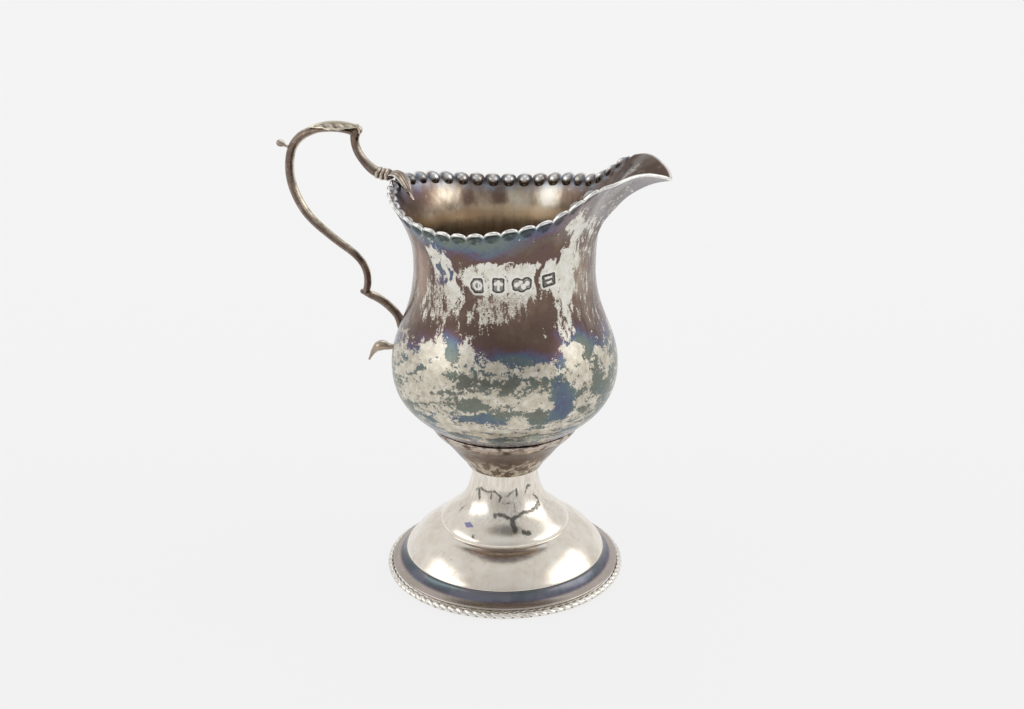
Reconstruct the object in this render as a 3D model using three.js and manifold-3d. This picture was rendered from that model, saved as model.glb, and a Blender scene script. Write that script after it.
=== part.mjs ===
// Pedestal cream jug of sterling silver: a raised, inverted-pear bowl with a
// pulled lip and a punched, scalloped rim, on a hollow trumpet foot with a rope
// border, and a cast double-scroll handle with a leaf cap.
//
// Millimetres, +Z up. The jug stands on z = 0, the lip points to +X and the
// handle to -X; y = 0 is its plane of symmetry. The bowl's axis is upright at
// x = AXIS_X, so that the origin is under the middle of the whole jug.

import * as THREE from "three";
import { mergeVertices } from "three/addons/utils/BufferGeometryUtils.js";
import Module from "manifold-3d";

// ---------------------------------------------------------------- dimensions

const AXIS_X = 9.05; // the bowl's axis, from the middle of the jug's length
const GAP = 0.3; // solder gap kept between neighbouring pieces

// Bowl
const BOWL_WALL = 0.6;
const NECK_R = 22.12; // waist of the neck
const NECK_Z = 80;
// outside of the bowl from the middle of its round bottom to the neck, [r, z]
const BOWL_OUTSIDE = [
  [0, 35.7], [8, 37.45], [14.5, 39.35], [19.2, 41.3], [23.3, 44.8], [26.6, 49.2],
  [27.9, 54], [27.8, 58.5], [26.65, 63.3], [24.2, 69.8], [22.6, 75.6], [NECK_R, NECK_Z],
];
// flare above the neck, as [share of radial growth, share of height]
const FLARE_SIDE = [
  [0, 0], [0.006, 0.15], [0.03, 0.3], [0.09, 0.42], [0.21, 0.54],
  [0.37, 0.66], [0.55, 0.78], [0.76, 0.9], [1, 1],
];
const FLARE_LIP = [
  [0, 0], [0.0, 0.2], [0.02, 0.36], [0.085, 0.5], [0.2, 0.63],
  [0.37, 0.765], [0.6, 0.9], [0.83, 0.965], [1, 1],
];
// rim of the bowl: [angle from the lip in degrees, radius, height]
const RIM = [
  [0, 40.6, 106.3], [2, 40.2, 106.9], [4.2, 39.3, 107.6], [7, 38.1, 108.2],
  [10.5, 36.6, 108.7], [15, 35.2, 108.85], [20, 34.2, 108.3], [24, 33.0, 107.6],
  [28, 31.0, 106.9], [33.9, 29.2, 104.3], [40.1, 27.6, 102.2], [46.6, 26.5, 100.4],
  [55.3, 26.2, 99.4], [65.7, 26.2, 98.6], [76.2, 26.2, 97.8], [88.7, 26.1, 96.9],
  [110, 26.2, 96.4], [135, 27.0, 97.4], [160, 28.1, 99.4], [180, 28.5, 100.2],
];
const LIP_PLAIN_DEG = 27.5; // the lip's edge has no punching inside this angle
// Punched scallops along the rim, half of them on each side
const SCALLOPS_PER_SIDE = 18;
const SCALLOP_BULGE = 0.85; // how far a scallop's boss stands in from the wall
const SCALLOP_DIMPLE = 0.6; // how deep it is hollowed from the outside
const SCALLOP_NOTCH = 0.85; // how far the edge dips between two scallops
const RIM_BAND = 3.4; // height of the slightly thicker band that is punched
const BAND_OUT = 0.05; // how much the band stands out beyond the wall
const BAND_IN = 0.1; // and how much it stands in

// Collar between the bowl and the foot, outside then inside, [r, z]
const COLLAR = [
  [8.95, 28.6], [9.35, 29.1], [10.0, 29.9], [11.3, 31.3], [13.4, 34.1], [16.2, 37.3],
  [18.2, 39.6], [18.35, 40.2], [17.3, 39.95], [15.4, 37.8], [12.6, 34.7],
  [10.4, 31.9], [9.0, 30.2], [8.1, 29.5], [7.4, 28.6],
];

// Foot: trumpet stem, ovolo dome, hollow and flange, outside then inside, [r, z]
const FOOT = [
  [8.5, 28.3], [8.25, 26.8], [8.55, 24.6], [9.2, 22.4], [10.2, 20.0], [11.6, 17.8],
  [13.6, 15.5], [15.6, 13.9], [16.9, 13.1], [17.5, 12.9], [17.75, 12.5], [18.0, 12.2],
  [19.4, 11.4], [20.3, 10.65], [21.5, 9.4], [23.0, 7.65], [24.2, 6.05], [25.1, 4.8],
  [24.9, 4.3], [25.5, 3.55], [26.7, 3.0], [28.7, 2.45],
  [28.8, 1.95], [26.2, 1.95], [24.3, 2.7], [23.9, 4.4],
  [22.9, 6.0], [21.3, 7.9], [19.5, 9.6], [17.0, 11.3],
  [12.95, 15.0], [10.95, 17.4], [9.5, 19.7], [8.45, 22.1], [7.6, 25.5],
  [7.55, 28.3],
];

// Rope border round the flange, and the flat base wire that the jug stands on
const ROPE_R = 29.35; // middle of the rope
const ROPE_Z = 0.88;
const ROPE_THICK = 0.72; // mean radius of the rope
const ROPE_LOBES = 84;
const ROPE_LOBE_DEPTH = 0.12;
const BASE_WIRE = [
  [25.5, 0], [27.7, 0], [27.7, 1.5], [26.2, 1.6], [25.5, 1.6],
];

// Handle centrelines in the plane y = 0, measured from the bowl's axis, [x, z]
const NECK_LINE = [
  [-33.05, 102.0], [-34.2, 102.65], [-35.6, 103.9], [-36.95, 105.5], [-37.85, 107.3],
  [-38.25, 109.0], [-38.22, 109.7],
];
const UPPER_LINE = [
  [-37.9, 110.95], [-39.6, 111.45], [-42.1, 111.75], [-44.73, 111.7], [-47.37, 111.3],
  [-50.07, 110.5], [-52.35, 109.2], [-54.21, 107.3], [-55.35, 104.94],
  [-55.85, 102.38], [-55.93, 99.8], [-55.6, 97.29], [-54.83, 94.77], [-53.6, 92.12],
  [-51.93, 89.6], [-49.78, 87.4], [-47.18, 85.35], [-44.56, 83.5], [-41.96, 81.8],
  [-39.5, 80.2], [-37.6, 78.4], [-36.4, 76.3], [-35.98, 74.1], [-36.2, 71.75],
];
const LOWER_LINE = [
  [-37.45, 70.25], [-36.2, 69.95], [-34.6, 69.5], [-33.0, 68.85], [-31.24, 67.8],
  [-29.6, 66.5], [-28.35, 65.2], [-27.5, 63.9],
];
const TAIL_LINE = [
  [-28.35, 56.6], [-29.6, 56.35], [-31.0, 56.2], [-32.4, 56.35], [-33.4, 56.0],
  [-34.4, 55.2], [-35.15, 54.2], [-35.75, 53.1], [-36.3, 52.1],
];
const LEAF_LINE = [
  [-37.05, 112.75], [-38.6, 113.25], [-41.2, 113.55], [-43.8, 113.5],
  [-46.47, 113.2], [-48.9, 112.55],
];
const SPUR_BALL = [-58.05, 106.8]; // bud on the back of the scroll
const SPUR_R = 0.85;
// tongue draped over the rim behind the handle, down the inside of the bowl
const TONGUE_LINE = [
  [-29.05, 101.65], [-28.1, 101.95], [-26.9, 101.7], [-25.85, 100.4], [-24.95, 98.8],
  [-24.1, 97.1], [-23.3, 95.6],
];
const KNUCKLE_LINE = [
  [-32.4, 101.72], [-31.4, 101.4], [-30.6, 101.3], [-29.7, 101.25],
];

// ------------------------------------------------------------------- helpers

const wasm = await Module();
wasm.setup();

const deg = Math.PI / 180;

// A smooth curve through [a, b] pairs, in the plane of the handle.
function planeCurve(points) {
  return new THREE.CatmullRomCurve3(
    points.map(([x, z]) => new THREE.Vector3(x, 0, z)),
    false,
    "centripetal",
  );
}

// Value of a table of rows [key, ...values] at a key, by monotone cubic steps.
function table(rows, key) {
  const n = rows.length;
  let i = 0;
  while (i < n - 2 && key > rows[i + 1][0]) i++;
  const [a, b] = [rows[i], rows[i + 1]];
  const h = b[0] - a[0];
  const u = Math.min(1, Math.max(0, (key - a[0]) / h));
  return a.slice(1).map((va, k) => {
    const vb = b[k + 1];
    const slope = (vb - va) / h;
    const side = (j) => {
      if (j < 0 || j > n - 2) return slope;
      return (rows[j + 1][k + 1] - rows[j][k + 1]) / (rows[j + 1][0] - rows[j][0]);
    };
    const tangent = (s, t) => (s * t <= 0 ? 0 : (2 * s * t) / (s + t));
    const ma = i === 0 ? slope : tangent(side(i - 1), slope);
    const mb = i === n - 2 ? slope : tangent(slope, side(i + 1));
    const [u2, u3] = [u * u, u * u * u];
    return (
      (2 * u3 - 3 * u2 + 1) * va + (u3 - 2 * u2 + u) * h * ma +
      (-2 * u3 + 3 * u2) * vb + (u3 - u2) * h * mb
    );
  });
}

// Position only, shared vertices merged: what a boolean needs.
function merged(geometry) {
  const g = geometry.clone();
  g.deleteAttribute("normal");
  g.deleteAttribute("uv");
  return mergeVertices(g, 1e-4);
}

function solid(geometry) {
  const g = merged(geometry);
  const s = new wasm.Manifold(
    new wasm.Mesh({
      numProp: 3,
      vertProperties: new Float32Array(g.attributes.position.array),
      triVerts: new Uint32Array(g.index.array),
    }),
  );
  return s;
}

function fromSolid(s) {
  const m = s.getMesh();
  const n = m.numProp;
  const v = new Float32Array(m.numVert * 3);
  for (let i = 0; i < m.numVert; i++) v.set(m.vertProperties.subarray(i * n, i * n + 3), i * 3);
  const g = new THREE.BufferGeometry();
  g.setAttribute("position", new THREE.BufferAttribute(v, 3));
  g.setIndex(new THREE.BufferAttribute(new Uint32Array(m.triVerts), 1));
  return g;
}

// Faces turned outwards, whichever way round the profile was drawn.
function outward(geometry) {
  const g = merged(geometry);
  const p = g.attributes.position;
  const ix = g.index.array;
  const [a, b, c] = [new THREE.Vector3(), new THREE.Vector3(), new THREE.Vector3()];
  let volume = 0;
  for (let i = 0; i < ix.length; i += 3) {
    a.fromBufferAttribute(p, ix[i]);
    b.fromBufferAttribute(p, ix[i + 1]);
    c.fromBufferAttribute(p, ix[i + 2]);
    volume += a.dot(b.cross(c));
  }
  if (volume < 0) for (let i = 0; i < ix.length; i += 3) [ix[i + 1], ix[i + 2]] = [ix[i + 2], ix[i + 1]];
  g.computeVertexNormals();
  return g;
}

// A ring turned about the upright axis from a profile that closes on itself.
function turned(profile, segments) {
  const points = [...profile, profile[0]].map(([r, z]) => new THREE.Vector2(r, z));
  return new THREE.LatheGeometry(points, segments).rotateX(Math.PI / 2);
}

// A cast rod bent along a curve in the handle's plane. size(t) gives its
// half-thickness in that plane and its half-width across it.
function rod(points, size, rings, sides = 8) {
  const curve = planeCurve(points);
  const g = new THREE.CylinderGeometry(1, 1, 1, sides, rings);
  const p = g.attributes.position;
  for (let i = 0; i < p.count; i++) {
    const t = THREE.MathUtils.clamp(0.5 - p.getY(i), 0, 1);
    const at = curve.getPointAt(t);
    const along = curve.getTangentAt(t);
    const [thick, wide] = size(t);
    const nx = -along.z, nz = along.x; // normal in the plane
    const u = p.getX(i) * thick, v = p.getZ(i) * wide;
    p.setXYZ(i, at.x + nx * u, v, at.z + nz * u);
  }
  return g;
}

// ---------------------------------------------------------------------- bowl

function shares(rows, n) {
  // evenly spaced along the length of a polyline drawn in shares
  const curve = new THREE.CatmullRomCurve3(
    rows.map(([a, b]) => new THREE.Vector3(a * 12, b * 20, 0)), false, "centripetal");
  return Array.from({ length: n + 1 }, (_, k) => {
    const q = curve.getPointAt(k / n);
    return [q.x / 12, q.y / 20];
  });
}

const FLARE_STEPS = 12; // steps in which the flare's curve is drawn
const BODY_STEPS = 5; // rows of the wall between the neck and the punched band
const sideShares = shares(FLARE_SIDE, FLARE_STEPS);
const lipShares = shares(FLARE_LIP, FLARE_STEPS);

function rimAt(angle) {
  const d = Math.abs((Math.atan2(Math.sin(angle), Math.cos(angle)) / Math.PI) * 180);
  return table(RIM, d);
}

function lipWeight(angle) {
  const d = Math.abs(Math.atan2(Math.sin(angle), Math.cos(angle))) / deg;
  const u = THREE.MathUtils.clamp(1 - d / 42, 0, 1);
  return u * u * (3 - 2 * u);
}

// A point on the outside of the bowl above the neck; k runs 0..FLARE_STEPS.
function flarePoint(angle, k) {
  const i = Math.min(FLARE_STEPS - 1, Math.floor(k));
  const f = k - i;
  const w = lipWeight(angle);
  const mix = (j) => [
    w * lipShares[j][0] + (1 - w) * sideShares[j][0],
    w * lipShares[j][1] + (1 - w) * sideShares[j][1],
  ];
  const [a, b] = [mix(i), mix(i + 1)];
  const [s, h] = [a[0] + (b[0] - a[0]) * f, a[1] + (b[1] - a[1]) * f];
  const [r, z] = rimAt(angle);
  const rr = NECK_R + (r - NECK_R) * s;
  return new THREE.Vector3(Math.cos(angle) * rr, Math.sin(angle) * rr, NECK_Z + (z - NECK_Z) * h);
}

// How far along the flare, in steps, lies the point that is a distance below the edge.
function stepBelow(angle, distance) {
  let k = FLARE_STEPS;
  let run = 0;
  let last = flarePoint(angle, k);
  while (run < distance && k > 0) {
    k -= 0.05;
    const q = flarePoint(angle, k);
    run += q.distanceTo(last);
    last = q;
  }
  return k;
}

// Outward normal of the flare at a step.
function flareNormal(angle, k) {
  const e = 0.012;
  const du = flarePoint(angle + e, k).sub(flarePoint(angle - e, k));
  const dv = flarePoint(angle, Math.min(FLARE_STEPS, k + 0.4)).sub(flarePoint(angle, k - 0.4));
  return du.cross(dv).normalize();
}

// The bowl below the punched band, point j of the outside at an angle.
const BODY_COUNT = BOWL_OUTSIDE.length + BODY_STEPS;

function bodyPoint(angle, j) {
  if (j < BOWL_OUTSIDE.length) {
    const [r, z] = BOWL_OUTSIDE[j];
    return new THREE.Vector3(Math.cos(angle) * r, Math.sin(angle) * r, z);
  }
  const top = stepBelow(angle, RIM_BAND - 0.5);
  return flarePoint(angle, (top * (j - BOWL_OUTSIDE.length + 1)) / BODY_STEPS);
}

function bodyNormal(angle, j) {
  if (j === 0) return new THREE.Vector3(0, 0, -1);
  const e = 0.01;
  const du = bodyPoint(angle + e, j).sub(bodyPoint(angle - e, j));
  const dv = bodyPoint(angle, Math.min(BODY_COUNT - 1, j + 1)).sub(bodyPoint(angle, j - 1));
  return du.cross(dv).normalize();
}

// A closed ring or cup drawn as a lathe whose every section is set by hand.
function shaped(angles, count, at) {
  const blank = Array.from({ length: count }, (_, j) => new THREE.Vector2(1, j));
  const g = new THREE.LatheGeometry(blank, angles.length);
  const p = g.attributes.position;
  for (let i = 0; i <= angles.length; i++)
    for (let j = 0; j < count; j++) {
      const q = at(i % angles.length, angles[i % angles.length], j);
      p.setXYZ(i * count + j, q.x, q.y, q.z);
    }
  return outward(g);
}

const both = (half) => [...half, 180, ...half.slice(1).reverse().map((a) => 360 - a)];

function cupGeometry() {
  const angles = both([0, 1.8, 4.5, 8.5, 13.5, 19, 24.5, 30.5, 38, 47, 57, 67, 77.5, 88, 98.5,
    109, 119.5, 130, 140, 150, 160, 170]).map((a) => a * deg);
  return shaped(angles, BODY_COUNT * 2, (i, angle, j) => {
    const inner = j >= BODY_COUNT;
    const k = inner ? BODY_COUNT * 2 - 1 - j : j;
    if (k === 0) return new THREE.Vector3(0, 0, BOWL_OUTSIDE[0][1] + (inner ? BOWL_WALL : 0));
    const q = bodyPoint(angle, k);
    return inner ? q.addScaledVector(bodyNormal(angle, k), -BOWL_WALL) : q;
  });
}

// Angles along one side of the rim: the plain lip, then four to each scallop.
function bandAngles() {
  const steps = 600;
  const at = (k) => (LIP_PLAIN_DEG + ((180 - LIP_PLAIN_DEG) * k) / steps) * deg;
  const run = [0];
  for (let k = 1; k <= steps; k++)
    run.push(run[k - 1] + flarePoint(at(k), FLARE_STEPS).distanceTo(flarePoint(at(k - 1), FLARE_STEPS)));
  const half = [0, 1.8, 4.5, 8.5, 13.5, 19, 24].map((a) => ({ angle: a * deg, phase: -1 }));
  const count = SCALLOPS_PER_SIDE * 4;
  for (let m = 0; m < count; m++) {
    const want = (run[steps] * m) / count;
    const k = Math.max(1, run.findIndex((s) => s >= want));
    const f = (want - run[k - 1]) / (run[k] - run[k - 1]);
    half.push({ angle: at(k - 1 + f), phase: m % 4 });
  }
  return [
    ...half,
    { angle: Math.PI, phase: 0 },
    ...half.slice(1).reverse().map(({ angle, phase }) => ({
      angle: 2 * Math.PI - angle, phase: phase < 0 ? -1 : (4 - phase) % 4,
    })),
  ];
}

// The punched band: distances below the edge, and how much of the bulge, the
// dimple and the notch each row takes, at a scallop's middle.
const BAND_ROWS = [
  [RIM_BAND, 0, 0], [2.35, 0.25, 0.1], [1.35, 1, 0.05], [0.5, 0.8, 0.45], [0, 0.35, 1],
];

function bandGeometry() {
  const list = bandAngles();
  const rows = BAND_ROWS.length;
  return shaped(list.map((s) => s.angle), rows * 2 + 1, (i, angle, step) => {
    const j = step % (rows * 2); // the section closes on itself
    const inner = j >= rows;
    const [drop, swell, notch] = BAND_ROWS[inner ? rows * 2 - 1 - j : j];
    const phase = list[i].phase;
    const lift = phase < 0 ? 0 : [0, 0.72, 1, 0.72][phase];
    const dip = phase < 0 ? 0 : [1, 0.22, 0, 0.22][phase];
    const k = stepBelow(angle, drop + dip * notch * SCALLOP_NOTCH);
    const q = flarePoint(angle, k);
    const n = flareNormal(angle, Math.min(k, FLARE_STEPS - 0.4));
    return q.addScaledVector(n, inner
      ? -BOWL_WALL - BAND_IN - lift * swell * SCALLOP_BULGE
      : BAND_OUT - lift * swell * SCALLOP_DIMPLE);
  });
}

function punchedBowl() {
  return outward(fromSolid(solid(cupGeometry()).add(solid(bandGeometry()))));
}

// ---------------------------------------------------------------- foot border

function ropeGeometry() {
  const around = ROPE_LOBES * 2;
  const sides = 6;
  const g = new THREE.TorusGeometry(ROPE_R, 1, sides, around);
  const p = g.attributes.position;
  for (let j = 0; j <= sides; j++) {
    for (let i = 0; i <= around; i++) {
      const v = ((j % sides) / sides) * Math.PI * 2;
      const lobe = (i + j) % 2 ? -1 : 1; // lobes lie aslant, like a twisted cord
      const u = ((i % around) / around) * Math.PI * 2;
      const r = ROPE_THICK + lobe * ROPE_LOBE_DEPTH;
      const rr = ROPE_R + r * Math.cos(v);
      p.setXYZ(j * (around + 1) + i, rr * Math.cos(u), rr * Math.sin(u), ROPE_Z + r * Math.sin(v));
    }
  }
  return outward(g);
}

// --------------------------------------------------------------------- handle

const ease = (t, a, b) => THREE.MathUtils.smoothstep(t, a, b);

function neckGeometry() {
  return outward(rod(NECK_LINE, (t) => {
    const w = 1.05 + 0.35 * (1 - ease(t, 0, 0.4)) - 0.2 * ease(t, 0.7, 1);
    return [w, w * 1.15];
  }, 12));
}

function upperGeometry() {
  return outward(rod(UPPER_LINE, (t) => {
    const swell = 1.15 - 0.2 * ease(t, 0.45, 0.9);
    const under = 1 - ease(t, 0.13, 0.24); // thinner where the leaf lies on it
    return [swell - 0.3 * under, swell * 1.35];
  }, 34));
}

function lowerGeometry() {
  return outward(rod(LOWER_LINE, (t) => {
    const w = 0.75 + 0.3 * ease(t, 0, 0.18) + 0.15 * ease(t, 0.75, 1);
    return [w, w * 1.35];
  }, 12));
}

function tailGeometry() {
  return outward(rod(TAIL_LINE, (t) => {
    const w = 0.62 + 0.68 * Math.exp(-(((t - 0.46) / 0.2) ** 2)) - 0.22 * ease(t, 0.75, 1);
    return [w, w * 1.2];
  }, 14));
}

function leafGeometry() {
  return outward(rod(LEAF_LINE, (t) => {
    const w = Math.sin(Math.PI * Math.pow(0.06 + 0.9 * t, 0.8));
    return [0.28 + 0.24 * w, 0.7 + 1.9 * w];
  }, 14));
}

function spurGeometry() {
  const ball = new THREE.SphereGeometry(SPUR_R, 12, 8);
  ball.translate(SPUR_BALL[0], 0, SPUR_BALL[1]);
  const stalk = rod(
    [[-57.9, 106.8], [-57.2, 106.55], [-56.55, 106.3]],
    (t) => [0.4 + 0.12 * t, 0.45 + 0.15 * t], 2, 8);
  return outward(fromSolid(solid(outward(ball)).add(solid(outward(stalk)))));
}

function tongueGeometry() {
  return outward(rod(TONGUE_LINE, (t) => {
    const w = 1.5 + 1.2 * Math.sin(Math.PI * Math.min(1, t * 1.05)) - 1.0 * ease(t, 0.55, 1);
    return [0.42, w];
  }, 12));
}

function knuckleGeometry() {
  return outward(rod(KNUCKLE_LINE, (t) => {
    const w = 1.2 + 0.3 * Math.pow(Math.abs(Math.sin(t * Math.PI * 3)), 0.7);
    return [w * 0.95, w * 1.25];
  }, 12, 10));
}

// ------------------------------------------------------------------- the jug

const FINISH = {
  tarnish: { color: 0x7f6f68, roughness: 0.32, metalness: 0.9 },
  bright: { color: 0xcfc6ba, roughness: 0.18, metalness: 1.0 },
  dark: { color: 0x4d4038, roughness: 0.35, metalness: 0.85 },
  pale: { color: 0xc9c4ac, roughness: 0.28, metalness: 0.95 },
};

const jug = new THREE.Group();
const onAxis = new THREE.Group(); // everything is drawn about the bowl's axis
jug.add(onAxis);

function piece(name, geometry, finish) {
  geometry.translate(AXIS_X, 0, 0);
  geometry.computeVertexNormals();
  const mesh = new THREE.Mesh(geometry, new THREE.MeshStandardMaterial(FINISH[finish]));
  mesh.name = name;
  onAxis.add(mesh);
}

piece("bowl", punchedBowl(), "tarnish");
piece("stem_collar", outward(turned(COLLAR, 32)), "dark");
piece("foot", outward(turned(FOOT, 36)), "bright");
piece("foot_rope_border", ropeGeometry(), "bright");
piece("foot_base_wire", outward(turned(BASE_WIRE, 36)), "bright");
piece("handle_neck", neckGeometry(), "dark");
piece("handle_upper_scroll", upperGeometry(), "tarnish");
piece("handle_lower_scroll", lowerGeometry(), "tarnish");
piece("handle_tail", tailGeometry(), "tarnish");
piece("handle_leaf_cap", leafGeometry(), "pale");
piece("handle_spur", spurGeometry(), "tarnish");
piece("handle_rim_tongue", tongueGeometry(), "bright");
piece("handle_knuckle", knuckleGeometry(), "tarnish");

export default jug;
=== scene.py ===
import math

import bpy
import numpy as np
from mathutils import Matrix, Vector


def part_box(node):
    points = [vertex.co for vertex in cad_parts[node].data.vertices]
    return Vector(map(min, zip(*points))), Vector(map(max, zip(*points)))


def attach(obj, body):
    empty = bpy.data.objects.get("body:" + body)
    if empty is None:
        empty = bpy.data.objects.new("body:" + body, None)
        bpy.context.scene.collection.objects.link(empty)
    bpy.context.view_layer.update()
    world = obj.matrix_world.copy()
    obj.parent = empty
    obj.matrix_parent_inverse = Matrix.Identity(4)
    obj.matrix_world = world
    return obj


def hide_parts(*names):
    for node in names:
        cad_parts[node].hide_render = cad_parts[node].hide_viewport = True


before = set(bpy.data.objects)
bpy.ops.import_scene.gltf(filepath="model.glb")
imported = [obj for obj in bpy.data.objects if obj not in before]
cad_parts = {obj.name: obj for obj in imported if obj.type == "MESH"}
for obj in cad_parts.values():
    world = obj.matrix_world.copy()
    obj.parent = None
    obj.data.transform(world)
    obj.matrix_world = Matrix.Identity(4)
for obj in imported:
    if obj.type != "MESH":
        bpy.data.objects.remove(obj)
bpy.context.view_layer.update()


# The bowl's axis in the frame, in mm: the middle of the foot's rope border.
_lo, _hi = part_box("foot_rope_border")
AXIS = (_lo[0] + _hi[0]) / 2 * 1000

# ------------------------------------------------------------------ curves


def spline(xs, ys, xq):
    """Natural cubic spline through (xs, ys)."""
    xs, ys, xq = (np.asarray(a, float) for a in (xs, ys, xq))
    n = len(xs)
    h = np.diff(xs)
    A = np.zeros((n, n))
    r = np.zeros(n)
    A[0, 0] = A[-1, -1] = 1
    for i in range(1, n - 1):
        A[i, i - 1], A[i, i], A[i, i + 1] = h[i - 1], 2 * (h[i - 1] + h[i]), h[i]
        r[i] = 6 * ((ys[i + 1] - ys[i]) / h[i] - (ys[i] - ys[i - 1]) / h[i - 1])
    m = np.linalg.solve(A, r)
    k = np.clip(np.searchsorted(xs, xq) - 1, 0, n - 2)
    a, b = (xs[k + 1] - xq) / h[k], (xq - xs[k]) / h[k]
    return a * ys[k] + b * ys[k + 1] + ((a**3 - a) * m[k] + (b**3 - b) * m[k + 1]) * h[k] ** 2 / 6


def smooth_line(points, n, power=1.0):
    """n points, evenly spaced, on a smooth curve through the given points."""
    p = np.asarray(points, float)
    s = np.concatenate([[0], np.cumsum(np.linalg.norm(np.diff(p, axis=0), axis=1))])
    q = np.linspace(0, s[-1], 1200)
    c = np.stack([spline(s, p[:, k], q) for k in range(p.shape[1])], 1)
    t = np.concatenate([[0], np.cumsum(np.linalg.norm(np.diff(c, axis=0), axis=1))])
    w = np.linspace(0, 1, n) ** power * t[-1]
    return np.stack([np.interp(w, t, c[:, k]) for k in range(p.shape[1])], 1)


def step01(x, a, b):
    u = np.clip((np.asarray(x, float) - a) / (b - a), 0, 1)
    return u * u * (3 - 2 * u)


# ------------------------------------------------------------------ meshes


def build(name, verts, quads, tris=None, materials=(), slots=None, attrs=None, slot=None, replaces=()):
    """One smooth-shaded piece from arrays in mm about the bowl's axis."""
    v = np.asarray(verts, float).copy()
    v[:, 0] += AXIS
    v *= 0.001
    quads = np.asarray(quads, np.int32).reshape(-1, 4)
    tris = np.asarray(tris if tris is not None else [], np.int32).reshape(-1, 3)
    me = bpy.data.meshes.new(name)
    me.vertices.add(len(v))
    me.vertices.foreach_set("co", v.astype(np.float32).ravel())
    me.loops.add(quads.size + tris.size)
    me.loops.foreach_set("vertex_index", np.concatenate([quads.ravel(), tris.ravel()]))
    me.polygons.add(len(quads) + len(tris))
    starts = np.concatenate([np.arange(len(quads)) * 4, quads.size + np.arange(len(tris)) * 3])
    me.polygons.foreach_set("loop_start", starts.astype(np.int32))
    if slots is not None:
        me.polygons.foreach_set("material_index", np.asarray(slots, np.int32))
    me.update(calc_edges=True)
    me.validate()
    me.shade_smooth()
    for key, values in (attrs or {}).items():
        a = me.attributes.new(key, "FLOAT", "POINT")
        a.data.foreach_set("value", np.asarray(values, np.float32).ravel())
    for m in materials:
        me.materials.append(m)
    ob = bpy.data.objects.new(name, me)
    bpy.context.scene.collection.objects.link(ob)
    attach(ob, "root")
    if replaces:
        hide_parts(*replaces)
    return ob


def grid(rows, cols, wrap_rows=False, wrap_cols=True, base=0, flip=False):
    """Quads of a rows x cols grid of vertices, row by row."""
    i = np.arange(rows if wrap_rows else rows - 1)
    j = np.arange(cols if wrap_cols else cols - 1)
    I, J = np.meshgrid(i, j, indexing="ij")
    I2, J2 = (I + 1) % rows, (J + 1) % cols
    q = np.stack([I * cols + J, I * cols + J2, I2 * cols + J2, I2 * cols + J], -1).reshape(-1, 4) + base
    return q[:, ::-1] if flip else q


def lathe(name, profile, cols, **kw):
    """A closed turned ring from a closed profile of (r, z), drawn anticlockwise."""
    p = np.asarray(profile, float)
    a = np.linspace(0, 2 * np.pi, cols, endpoint=False)
    wob = kw.pop("wobble", None)
    R = np.repeat(p[:, :1], cols, 1)
    Z = np.repeat(p[:, 1:2], cols, 1)
    if wob is not None:
        R, Z = wob(R, Z, a[None, :])
    v = np.stack([R * np.cos(a), R * np.sin(a), Z], -1).reshape(-1, 3)
    return build(name, v, grid(len(p), cols, wrap_rows=True), **kw)


def dense(points, step=0.35, corners=()):
    """A polyline of (r, z) resampled finely: smooth except at the listed corners."""
    cuts = [0, *corners, len(points) - 1]
    out = []
    for a, b in zip(cuts[:-1], cuts[1:]):
        seg = np.asarray(points[a : b + 1], float)
        length = np.linalg.norm(np.diff(seg, axis=0), axis=1).sum()
        n = max(3, int(length / step))
        c = smooth_line(seg, n) if len(seg) > 2 else np.linspace(seg[0], seg[-1], n)
        out.append(c if not out else c[1:])
    return np.concatenate(out)



# ------------------------------------------------------------------ regions of the film
# Places on the wall are given as (s, h): s runs round it, in mm at radius 24 from
# the lip, and h is the height. Each is s, h, half-width, half-height and amount.

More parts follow.
